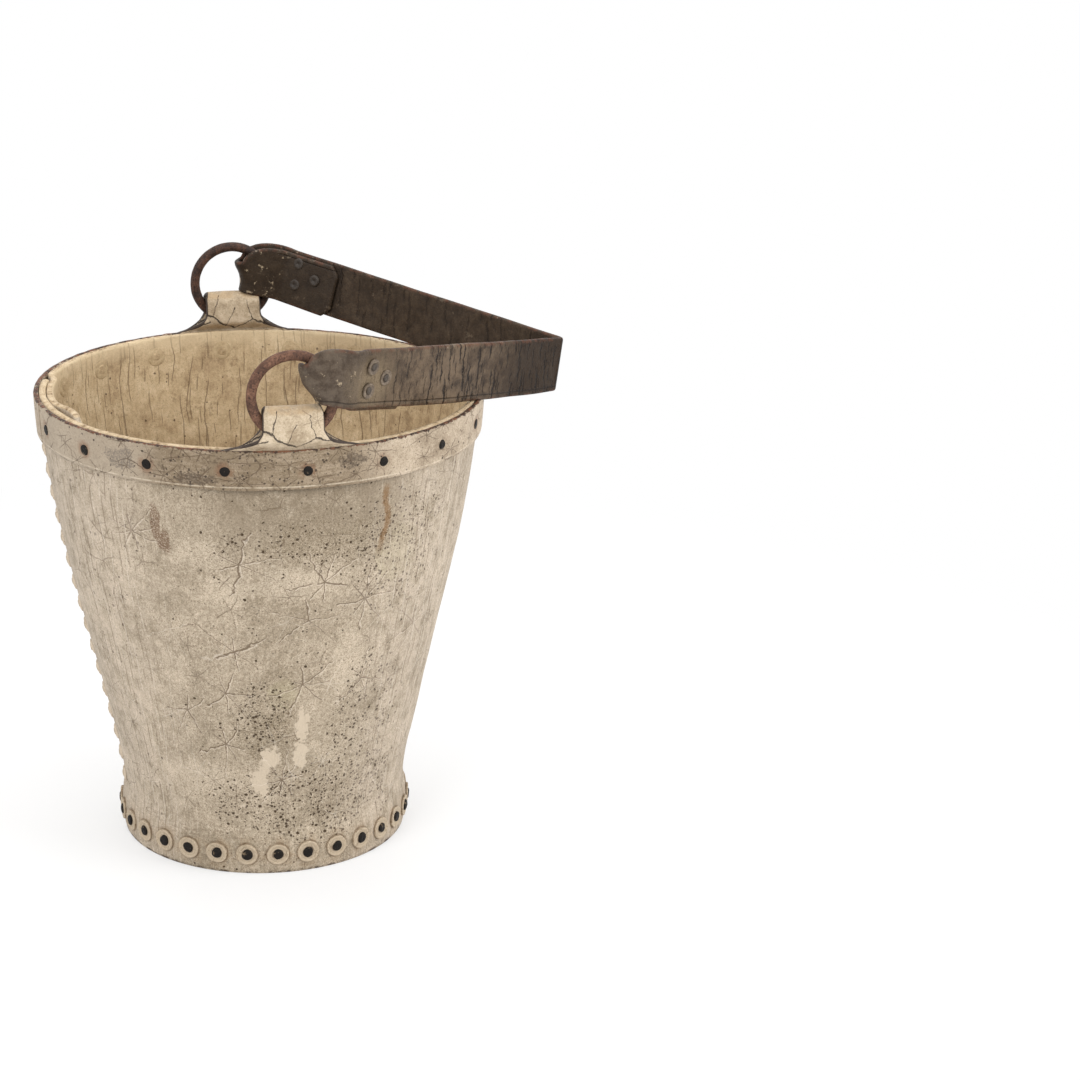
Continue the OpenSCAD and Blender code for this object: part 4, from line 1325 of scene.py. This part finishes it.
def strap_leather():
    material, tree, place = new_finish("old_harness_leather")
    along, across, ply, end = (named(tree, label) for label in ("along", "across", "ply", "end"))
    front = end.fall(-0.1, 0.1)
    flat = joined(tree, along, across, end * 40)
    wide = cloud(tree, place, 24, detail=5.0, seed=71.0)
    middle = cloud(tree, place, 6, detail=5.0, seed=72.0, rough=0.65)
    fine = cloud(tree, place, 0.9, detail=4.0, seed=73.0, rough=0.65)
    base = tones(
        tree, wide * 0.4 + middle * 0.5 + fine * 0.45 - 0.19, (0.30, shade(38, 30, 24)),
        (0.46, shade(66, 53, 42)), (0.62, shade(96, 80, 64)), (0.80, shade(132, 114, 94)),
    )
    colour = blended(tree, (1 - front) * 0.5, base, shade(50, 41, 32))
    colour = blended(tree, along.rise(150, 215) * front * 0.85, colour, shade(41, 29, 18))
    colour = blended(tree, (1 - front) * along.fall(74, 86) * 0.4, colour, shade(34, 27, 21))
    at_fold = along.fall(24, 44) * front
    colour = blended(tree, at_fold * (middle.rise(0.38, 0.62) * 0.35 + 0.2), colour, shade(98, 89, 79))
    near_x = (along - 50) / 22
    near_y = (across - 16) / 19
    dusty = (near_x * near_x + near_y * near_y) ** 0.5 + (middle - 0.5) * 0.9
    dusty = dusty.fall(0.25, 1.3) * front * ply.rise(0.2, 0.6)
    colour = blended(tree, dusty * (fine.rise(0.3, 0.6) * 0.4 + 0.25), colour, shade(148, 131, 106))
    slanted = along + across * 0.16 + end * 200
    strong = along.rise(40, 120) * front
    waver = (cloud(tree, flat, 5.0, detail=4.0, seed=74.0, rough=0.7) - 0.5) * 7
    slanted = slanted + waver
    split = hair_lines(tree, slanted, across, 5.2, 46.0, 0.62, 0.85, 46.0)
    split = split * (strong * 0.9 + 0.1 + (1 - front) * 0.35)
    small = hair_lines(tree, slanted, across, 2.6, 17.0, 0.36, 0.6, 58.0) * (strong * 0.75 + 0.2)
    split = (split + small * 0.8).clamped() * ply.rise(0.3, 0.7)
    worn_brown = (wide * 0.5 + middle * 0.6 - 0.05).rise(0.30, 0.62)
    worn_brown = along.rise(24, 96) * along.fall(140, 205) * front * worn_brown
    colour = blended(tree, worn_brown * 0.5, colour, shade(124, 106, 86))
    colour = blended(tree, split * 0.9, colour, shade(28, 22, 19))
    back_groove = across.hump(32.4, 33.1, 33.8) * (1 - front) * ply.fall(-0.9, -0.5)
    groove = (across.hump(3.0, 3.6, 4.3) * front + back_groove).clamped()
    colour = blended(tree, groove * 0.6, colour, shade(36, 28, 24))
    edge = (across.fall(0.4, 2.4) + across.rise(33.6, 35.6)).clamped()
    red = edge * cloud(tree, place, 5, detail=4.0, seed=76.0).rise(0.42, 0.6)
    colour = blended(tree, red * 0.55, colour, shade(98, 62, 46))
    old_mark = cloud(tree, place, 14, detail=6.0, seed=75.0, rough=0.8).rise(0.60, 0.66) * (1 - front)
    colour = blended(tree, old_mark * 0.5, colour, shade(112, 98, 82))
    scuff = edge * cloud(tree, place, 3, detail=4.0, seed=77.0, rough=0.7).rise(0.58, 0.68)
    colour = blended(tree, scuff * 0.6, colour, shade(158, 142, 124))
    splash = cloud(tree, place, 6, detail=5.0, seed=78.0, rough=0.72).rise(0.60, 0.64)
    splash = splash * along.fall(22, 46)
    colour = blended(tree, splash * 0.8, colour, shade(176, 158, 132))
    height = (
        (fine - 0.5) * 0.35 + (middle - 0.5) * 0.7 - split * 0.8 - groove * 0.5
    )
    finish_surface(tree, colour, 0.46 + (fine - 0.5) * 0.4 + dusty * 0.3, height, gloss=0.13)
    return material


strap_data = strap_mesh()
strap_data.materials.append(strap_leather())
strap = new_piece("leather_strap", strap_data)
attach(strap, "handle")
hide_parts("handle_strap")


# Body rivets: iron, closed with a hammered tail over a washer. Outside the rim only small heads
# show, sunk in the band; the base and the seam have their tails outside and flat heads inside.
tail_r = 0.0032
tail_high = 0.0012
rove_thick = 0.0012


def wall_seat(azimuth, z, depth=0.0, facing_in=False):
    """A seat on the wall, some depth below its outer face, and the way it looks out."""
    slope = math.atan2(wall_r(z + 0.002) - wall_r(z - 0.002), 0.004)
    turn = math.radians(azimuth)
    level_part = math.cos(slope)
    outward = Vector((level_part * math.cos(turn), level_part * math.sin(turn), -math.sin(slope)))
    seat = Vector((wall_r(z) * math.cos(turn), wall_r(z) * math.sin(turn), z)) - outward * depth
    return seat, outward * (-1 if facing_in else 1)


def stud_pattern(name, outline, sides=28, wobble=0.0, seed=0):
    """One rivet or washer to be set many times, kept out of sight."""
    return bpy.data.objects.new(name, lathed(name, outline, sides, wobble, seed))


def hammered(radius, high, sunk=0.0006):
    """A rivet end spread by the hammer: flat on top with a worn round edge."""
    return [
        (0.00005, high * 0.94), (radius * 0.35, high), (radius * 0.6, high * 0.97),
        (radius * 0.8, high * 0.85),
        (radius * 0.95, high * 0.55), (radius, high * 0.2), (radius * 0.97, -sunk), (0.00005, -sunk),
    ]


def flat_head(radius, high):
    return [
        (0.00005, high), (radius * 0.7, high * 0.98), (radius * 0.93, high * 0.88), (radius, high * 0.55),
        (radius, -0.0004), (0.00005, -0.0004),
    ]


def washer(radius, high):
    """A washer with a raised lip round its edge and its hole under the rivet's end."""
    hole = 0.0016
    return [
        (hole, high * 0.55), (radius * 0.45, high * 0.62), (radius * 0.72, high * 0.60),
        (radius * 0.80, high * 0.72), (radius * 0.88, high), (radius * 0.96, high * 0.9),
        (radius, high * 0.5), (radius * 0.99, -0.0003),
        (hole, -0.0003),
    ]


def painted_over(radius, high):
    """A washer or rivet end so thick with paint that only a low mound shows."""
    return [
        (0.00005, high), (radius * 0.4, high * 0.97), (radius * 0.7, high * 0.80),
        (radius * 0.88, high * 0.52),
        (radius * 0.97, high * 0.22), (radius * 1.02, -0.0002), (0.00005, -0.0003),
    ]


def set_studs(name, seats, first, second, sizes, material):
    """Sets a pattern on every seat, each turned, tipped and sized a little by chance.
    A seat is (place, direction, which of the two patterns)."""
    mesh = bpy.data.meshes.new(name + "_seats")
    mesh.from_pydata([seat[0] for seat in seats], [], [])
    mesh.attributes.new("facing", "FLOAT_VECTOR", "POINT").data.foreach_set(
        "vector", [number for seat in seats for number in seat[1]]
    )
    mesh.attributes.new("inner", "FLOAT", "POINT").data.foreach_set("value", [seat[2] for seat in seats])
    sizes = {"Outer stud": first, "Inner stud": second, **sizes}
    tree, size, labels = sized_tree(name, sizes, takes_mesh=True)
    entry = [node for node in tree.nodes if node.bl_idname == "NodeGroupInput"][0]
    facing = add_node(
        tree, "GeometryNodeInputNamedAttribute", {"Name": "facing"}, data_type="FLOAT_VECTOR"
    )
    inner = add_node(tree, "GeometryNodeInputNamedAttribute", {"Name": "inner"}, data_type="FLOAT")
    inner = Field(tree, inner.outputs[0])

    def chance(low, high, seed):
        made = add_node(tree, "FunctionNodeRandomValue", {2: low, 3: high}, data_type="FLOAT")
        tree.links.new((size["Seed"] + seed).socket, made.inputs["Seed"])
        return Field(tree, made.outputs[1])

    tips = size["Tip"]
    lean = joined(tree, *(chance(-1.0, 1.0, seed) * tips for seed in (1.0, 2.0, 3.0)))
    towards = add_node(tree, "ShaderNodeVectorMath", {0: facing.outputs[0], 1: lean})
    aimed = add_node(tree, "FunctionNodeAlignRotationToVector", {"Vector": towards.outputs[0]}, axis="Z")
    spin = add_node(tree, "FunctionNodeAxisAngleToRotation", {
        "Axis": (0, 0, 1), "Angle": chance(0.0, 6.28, 4.0),
    })
    turned = add_node(
        tree, "FunctionNodeRotateRotation", {0: aimed.outputs[0], 1: spin.outputs[0]},
        rotation_space="LOCAL",
    )
    grown_by = chance(-1.0, 1.0, 5.0) * size["Size spread"] + 1
    whole = joined(tree, grown_by, grown_by, 1.0)
    gathered = tree.nodes.new("GeometryNodeJoinGeometry")
    for label, chosen in (("Inner stud", inner), ("Outer stud", 1 - inner)):
        shape = add_node(tree, "GeometryNodeObjectInfo", {
            "Object": entry.outputs[label], "As Instance": True,
        })
        stood = add_node(tree, "GeometryNodeInstanceOnPoints", {
            "Points": entry.outputs[0], "Selection": chosen, "Instance": shape.outputs["Geometry"],
            "Rotation": turned.outputs[0], "Scale": whole,
        })
        tree.links.new(stood.outputs[0], gathered.inputs[0])
    real = add_node(tree, "GeometryNodeRealizeInstances", {"Geometry": gathered.outputs[0]})
    spot = add_node(tree, "GeometryNodeInputPosition").outputs[0]
    bumps = cloud(tree, spot, 0.0028, detail=2.0, seed=81.0) - 0.5
    normal = add_node(tree, "GeometryNodeInputNormal").outputs[0]
    out = scaled(tree, normal, bumps * size["Roughness"])
    moved = add_node(tree, "GeometryNodeSetPosition", {
        "Geometry": real.outputs[0], "Offset": out,
    })
    return grown(name, tree, labels, sizes, moved.outputs[0], material, mesh)


def rivet_iron():
    material, tree, place = new_finish("hammered_rivet_iron")
    inner = named(tree, "inner")
    z = parts_of(tree, place)[2]
    fine = cloud(tree, place, 0.9, detail=4.0, seed=82.0, rough=0.7)
    middle = cloud(tree, place, 3.2, detail=4.0, seed=83.0, rough=0.6)
    dark = tones(
        tree, fine * 0.5 + middle * 0.6 - 0.05, (0.36, shade(16, 14, 12)), (0.58, shade(30, 25, 21)),
        (0.80, shade(76, 62, 48)),
    )
    tan = tones(tree, fine * 0.5 + middle * 0.5, (0.35, shade(150, 128, 96)), (0.6, shade(194, 171, 137)))
    mixed = fine * 0.5 + middle * 0.5
    cream = tones(tree, mixed, (0.35, shade(150, 133, 110)), (0.6, shade(200, 184, 160)))
    low = z.fall(24, 30)
    colour = blended(tree, inner * (1 - low), dark, tan)
    at_seam = z.rise(24, 30) * z.fall(272, 282) * (1 - inner)
    colour = blended(tree, at_seam * middle.rise(0.22, 0.34), colour, cream)
    colour = blended(tree, middle.rise(0.60, 0.68) * (1 - inner) * 0.6, colour, shade(150, 130, 104))
    height = (fine - 0.5) * 0.35 + (middle - 0.5) * 0.5
    finish_surface(tree, colour, 0.55 + (fine - 0.5) * 0.4, height, gloss=0.15)
    return material


rivet_finish = rivet_iron()
small_head = stud_pattern("small_head", hammered(tail_r, 0.0007), 24, 0.05, 4)
tail_end = stud_pattern("hammered_tail", hammered(tail_r * 1.06, tail_high + 0.0002), 26, 0.09, 5)
painted_tail = stud_pattern("painted_tail", painted_over(tail_r, 0.0006), 24, 0.05, 5)
seam_tail = stud_pattern("small_tail", painted_over(tail_r * 0.8, 0.0008), 24, 0.06, 6)
large_head = stud_pattern("large_flat_head", flat_head(0.006, 0.0012), 30, 0.02, 7)
band_face = ply_gap + band_thick
rim_angles = [front_az + rim_turn + i * 360 / rim_rivets for i in range(rim_rivets)]
rim_angles = [angle % 360 for angle in rim_angles]


def rim_depth(angle):
    """How far in the wall's inner face lies at the rim: two plies at the lap, the end of it curled."""
    if not lap_start < angle < lap_start + lap_turn:
        return hide_thick
    share = (angle - lap_start - lap_turn + curl_from) / (curl_from - curl_full)
    share = max(0.0, min(1.0, share))
    return 2 * hide_thick + ply_gap + curl_lift * share * share * (3 - 2 * share)


def near_tab(angle, middle):
    return abs((angle - middle + 180) % 360 - 180) < 18


for group, angles in (
    ("rim_rivets", [a for a in rim_angles if not near_tab(a, front_az) and not near_tab(a, back_az)]),
    ("front_tab_rivets", [a for a in rim_angles if near_tab(a, front_az)]),
    ("back_tab_rivets", [a for a in rim_angles if near_tab(a, back_az)]),
):
    seats = [(*wall_seat(a, rim_rivet_z, -band_face + 0.0005), 0.0) for a in angles]
    seats += [(*wall_seat(a, rim_rivet_z, rim_depth(a) + 0.0003, True), 1.0) for a in angles]
    studs = set_studs(group + "_set", seats, small_head, painted_tail, {
        "Seed": 3, "Tip": 0.05, "Size spread": 0.08, "Roughness": 0.0003,
    }, rivet_finish)
    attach(studs, "bucket")
    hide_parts(group)

base_angles = [seam_az + base_turn + i * base_step for i in range(base_rivets)]
seats = [(*wall_seat(a, base_rivet_z, -rove_thick * 0.8), 0.0) for a in base_angles]
inner_depth = flange_depth + base_thick + 0.0001
seats += [(*wall_seat(a, base_rivet_z, inner_depth, True), 1.0) for a in base_angles]
studs = set_studs("base_rivets_set", seats, tail_end, large_head, {
    "Seed": 11, "Tip": 0.06, "Size spread": 0.08, "Roughness": 0.0004,
}, rivet_finish)
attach(studs, "bucket")
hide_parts("base_rivets")

seam_rivets = 16
seam_first = 0.038
seam_last = band_low - 0.0065 - 0.003
seam_step = (seam_last - seam_first) / (seam_rivets - 1)
seam_heights = [seam_first + i * seam_step for i in range(seam_rivets)]
seats = [(*wall_seat(seam_az, z, -rove_thick * 0.8), 0.0) for z in seam_heights]
seats += [(*wall_seat(seam_az, z, 2 * hide_thick + ply_gap + 0.0002, True), 1.0) for z in seam_heights]
studs = set_studs("seam_rivets_set", seats, seam_tail, large_head, {
    "Seed": 19, "Tip": 0.05, "Size spread": 0.06, "Roughness": 0.0004,
}, rivet_finish)
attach(studs, "bucket")
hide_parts("seam_rivets")


# Body washers: pressed from sheet with a raised lip, painted over with the body. The paint has
# split round each lip and dirt sits round the washers of the base.
def rove_paint():
    material, tree, place = new_finish("cream_paint_on_washers")
    inner, ring = named(tree, "inner"), named(tree, "ring")
    z = parts_of(tree, place)[2]
    fine = cloud(tree, place, 1.0, detail=4.0, seed=91.0, rough=0.65)
    middle = cloud(tree, place, 4.0, detail=4.0, seed=92.0, rough=0.6)
    outside = tones(
        tree, fine * 0.6 + middle * 0.6 - 0.10, (0.32, shade(148, 131, 108)), (0.48, shade(190, 173, 149)),
        (0.66, shade(214, 199, 177)),
    )
    inside = tones(
        tree, fine * 0.45 + middle * 0.6 - 0.05, (0.32, shade(156, 133, 100)), (0.52, shade(190, 168, 133)),
        (0.72, shade(211, 189, 156)),
    )
    colour = blended(tree, inner, outside, inside)
    at_base = z.fall(24, 30)
    rim = ring.rise(6.9, 7.3) * (middle.rise(0.44, 0.58) * 0.6 + 0.12) * at_base
    colour = blended(tree, rim, colour, shade(100, 78, 58))
    at_seam = z.rise(24, 30) * (1 - inner)
    colour = blended(tree, at_seam * 0.7, colour, shade(196, 180, 160))
    line = ring.hump(4.8, 5.2, 5.6) * fine.rise(0.42, 0.56) * at_base
    colour = blended(tree, line * 0.45, colour, shade(124, 104, 80))
    dirt = (middle * 0.7 + fine * 0.3).rise(0.44, 0.60) * at_base * 0.45
    colour = blended(tree, dirt, colour, shade(142, 121, 94))
    hair = star_cracks(tree, *round_bucket(tree, place)[:2], 13.0, 0.8, 9.0, 0.2, 61.0)
    colour = blended(tree, hair * (1 - inner) * 0.6, colour, shade(110, 90, 68))
    foot = ring.fall(3.3, 4.2) * middle.rise(0.36, 0.56) * at_base * 0.7
    colour = blended(tree, foot, colour, shade(88, 68, 52))
    height = (fine - 0.5) * 0.35 + (middle - 0.5) * 0.4
    finish_surface(tree, colour, 0.6 + (fine - 0.5) * 0.35, height, gloss=0.3)
    return material


rove_finish = rove_paint()
base_rove = stud_pattern("base_washer", washer(0.0073, 0.0014), 36, 0.006, 9)
rim_rove = stud_pattern("rim_washer", painted_over(0.0065, 0.0005), 32, 0.012, 12)
seam_rove = stud_pattern("seam_washer", painted_over(0.0054, 0.0013), 28, 0.02, 14)
for group, stud, places in (
    ("base_roves", base_rove, [(a, base_rivet_z, 0.0, False) for a in base_angles]),
    ("rim_roves", rim_rove, [(a, rim_rivet_z, rim_depth(a), True) for a in rim_angles]),
    ("seam_roves", seam_rove, [(seam_az, z, 0.0, False) for z in seam_heights]),
):
    seats = [(*wall_seat(a, z, depth, inward), float(inward)) for a, z, depth, inward in places]
    studs = set_studs(group + "_set", seats, stud, stud, {
        "Seed": 29, "Tip": 0.03, "Size spread": 0.02, "Roughness": 0.0003,
    }, rove_finish)
    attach(studs, "bucket")
    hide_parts(group)


# Strap rivets: small brown rivets and washers, three at each end of the strap, their washers
# and tails on the outer face and flat heads on the turned-back end.
def strap_iron():
    material, tree, place = new_finish("oxidised_strap_rivets")
    ring = named(tree, "ring")
    y = parts_of(tree, place)[1]
    fine = cloud(tree, place, 0.8, detail=4.0, seed=95.0, rough=0.7)
    middle = cloud(tree, place, 3.0, detail=4.0, seed=96.0, rough=0.6)
    colour = tones(
        tree, fine * 0.5 + middle * 0.6 - 0.05, (0.32, shade(64, 52, 42)), (0.50, shade(108, 93, 77)),
        (0.70, shade(152, 136, 117)),
    )
    colour = blended(tree, ring.fall(2.3, 2.9) * 0.75, colour, shade(40, 32, 27))
    colour = blended(tree, named(tree, "inner") * 0.8, colour, shade(46, 38, 31))
    colour = blended(tree, y.rise(0, 10) * 0.7, colour, shade(46, 38, 31))
    height = (fine - 0.5) * 0.35 + (middle - 0.5) * 0.4
    finish_surface(tree, colour, 0.55 + (fine - 0.5) * 0.4, height, gloss=0.45)
    return material


strap_iron_finish = strap_iron()
strap_rove = stud_pattern("strap_washer", washer(0.005, 0.0013), 30, 0.01, 15)
strap_tail = stud_pattern("strap_tail", hammered(0.0025, 0.001), 22, 0.10, 16)
strap_head = stud_pattern("strap_head", flat_head(0.004, 0.0011), 26, 0.03, 17)


def strap_seat(side, s, across, off, facing_in=False):
    x, y = beside(s, off)
    turn = heading(s)
    out = Vector((math.sin(turn), -math.cos(turn), 0)) * (-1 if facing_in else 1)
    out.y = out.y if side < 0 else -out.y
    seat = Vector((x, y if side < 0 else -y, strap_low + strap_wide / 2 + across))
    return drop @ seat, drop.to_3x3() @ out


for side, end_name in ((-1, "front"), (1, "back")):
    spots = ((0.047, -0.0075), (0.047, 0.0075), (0.062, 0.0))
    face = strap_thick / 2
    seats = [(*strap_seat(side, s, q, face + uneven(s, q)), 0.0) for s, q in spots]
    studs = set_studs(end_name + "_strap_roves_set", seats, strap_rove, strap_rove, {
        "Seed": 31, "Tip": 0.03, "Size spread": 0.03, "Roughness": 0.0003,
    }, strap_iron_finish)
    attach(studs, "handle")
    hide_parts(end_name + "_strap_roves")
    seats = [(*strap_seat(side, s, q, face + rove_thick * 0.6 + uneven(s, q)), 0.0) for s, q in spots]
    seats += [(*strap_seat(side, s, q, -face - ply_pitch + uneven(s, q), True), 1.0) for s, q in spots]
    studs = set_studs(end_name + "_strap_rivets_set", seats, strap_tail, strap_head, {
        "Seed": 37, "Tip": 0.05, "Size spread": 0.05, "Roughness": 0.0003,
    }, strap_iron_finish)
    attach(studs, "handle")
    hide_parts(end_name + "_strap_rivets")


# The room: a pale floor under soft light, seen as the photograph sees the bucket. The floor and
# the world show white to the camera, and the floor keeps the shadow.
def white_floor():
    material = bpy.data.materials.new("pale_floor")
    material.use_nodes = True
    tree = material.node_tree
    tree.nodes.clear()
    matt = add_node(tree, "ShaderNodeBsdfDiffuse", {"Color": (0.9, 0.9, 0.9, 1.0)})
    glow = add_node(tree, "ShaderNodeEmission", {"Color": (1.0, 1.0, 1.0, 1.0)})
    ray = add_node(tree, "ShaderNodeLightPath").outputs
    seen = Field(tree, ray["Is Camera Ray"]) + Field(tree, ray["Is Glossy Ray"])
    x, y, _ = parts_of(tree, add_node(tree, "ShaderNodeTexCoord").outputs["Object"])
    far_off = ((x * x + y * y) ** 0.5).rise(0.25, 0.75)
    both = add_node(tree, "ShaderNodeMixShader", {0: seen.clamped() * (far_off * 0.45 + 0.55)})
    tree.links.new(matt.outputs[0], both.inputs[1])
    tree.links.new(glow.outputs[0], both.inputs[2])
    end = add_node(tree, "ShaderNodeOutputMaterial")
    tree.links.new(both.outputs[0], end.inputs[0])
    return material


floor_half = 30.0
corners = [(-floor_half, -floor_half, 0), (floor_half, -floor_half, 0), (floor_half, floor_half, 0),
           (-floor_half, floor_half, 0)]
floor_mesh = bpy.data.meshes.new("floor")
floor_mesh.from_pydata(corners, [], [(0, 1, 2, 3)])
floor_mesh.materials.append(white_floor())
floor = new_piece("floor", floor_mesh)

sky = bpy.data.worlds.new("soft_white")
bpy.context.scene.world = sky
sky.use_nodes = True
sky_tree = sky.node_tree
sky_tree.nodes.clear()
sky_ray = add_node(sky_tree, "ShaderNodeLightPath").outputs
sky_seen = Field(sky_tree, sky_ray["Is Camera Ray"]) + Field(sky_tree, sky_ray["Is Glossy Ray"])
sky_seen = sky_seen.clamped()
ambient = 0.62
sky_light = add_node(sky_tree, "ShaderNodeBackground", {
    "Color": (1.0, 1.0, 1.0, 1.0), "Strength": sky_seen * (1 - ambient) + ambient,
})
sky_end = add_node(sky_tree, "ShaderNodeOutputWorld")
sky_tree.links.new(sky_light.outputs[0], sky_end.inputs[0])


def soft_lamp(name, spot, size, power):
    """A square lamp that looks at the middle of the bucket."""
    lamp = bpy.data.lights.new(name, "AREA")
    lamp.size = size
    lamp.energy = power
    holder = bpy.data.objects.new(name, lamp)
    bpy.context.scene.collection.objects.link(holder)
    aim = Vector((0, 0, 0.17)) - Vector(spot)
    holder.matrix_world = Matrix.Translation(spot) @ aim.to_track_quat("-Z", "Y").to_matrix().to_4x4()


soft_lamp("left_front_lamp", (-1.3, -1.5, 1.5), 1.2, 26)
soft_lamp("right_lamp", (1.6, -0.9, 1.1), 1.2, 23)
soft_lamp("top_lamp", (0.0, 0.5, 2.0), 1.4, 18)

camera_spot = (-0.24040, -1.76662, 0.81294)
camera_yaw = math.radians(-13.64)
camera_dip = math.radians(19.02)
camera_roll = math.radians(1.305)
sensor = 36.0
focal_pixels = 2849.3
photo_side = 1080.0
look = Vector((-math.sin(camera_yaw) * math.cos(camera_dip), math.cos(camera_yaw) * math.cos(camera_dip),
               -math.sin(camera_dip)))
level_right = Vector((math.cos(camera_yaw), math.sin(camera_yaw), 0))
level_up = level_right.cross(look)
right = level_right * math.cos(camera_roll) + level_up * math.sin(camera_roll)
above = level_up * math.cos(camera_roll) - level_right * math.sin(camera_roll)
lens = bpy.data.cameras.new("photograph")
lens.sensor_width = sensor
lens.lens = focal_pixels * sensor / photo_side
camera = bpy.data.objects.new("photograph", lens)
bpy.context.scene.collection.objects.link(camera)
turned = Matrix((right, above, -look)).transposed().to_4x4()
camera.matrix_world = Matrix.Translation(camera_spot) @ turned
bpy.context.scene.camera = camera
bpy.context.scene.view_settings.view_transform = "Standard"
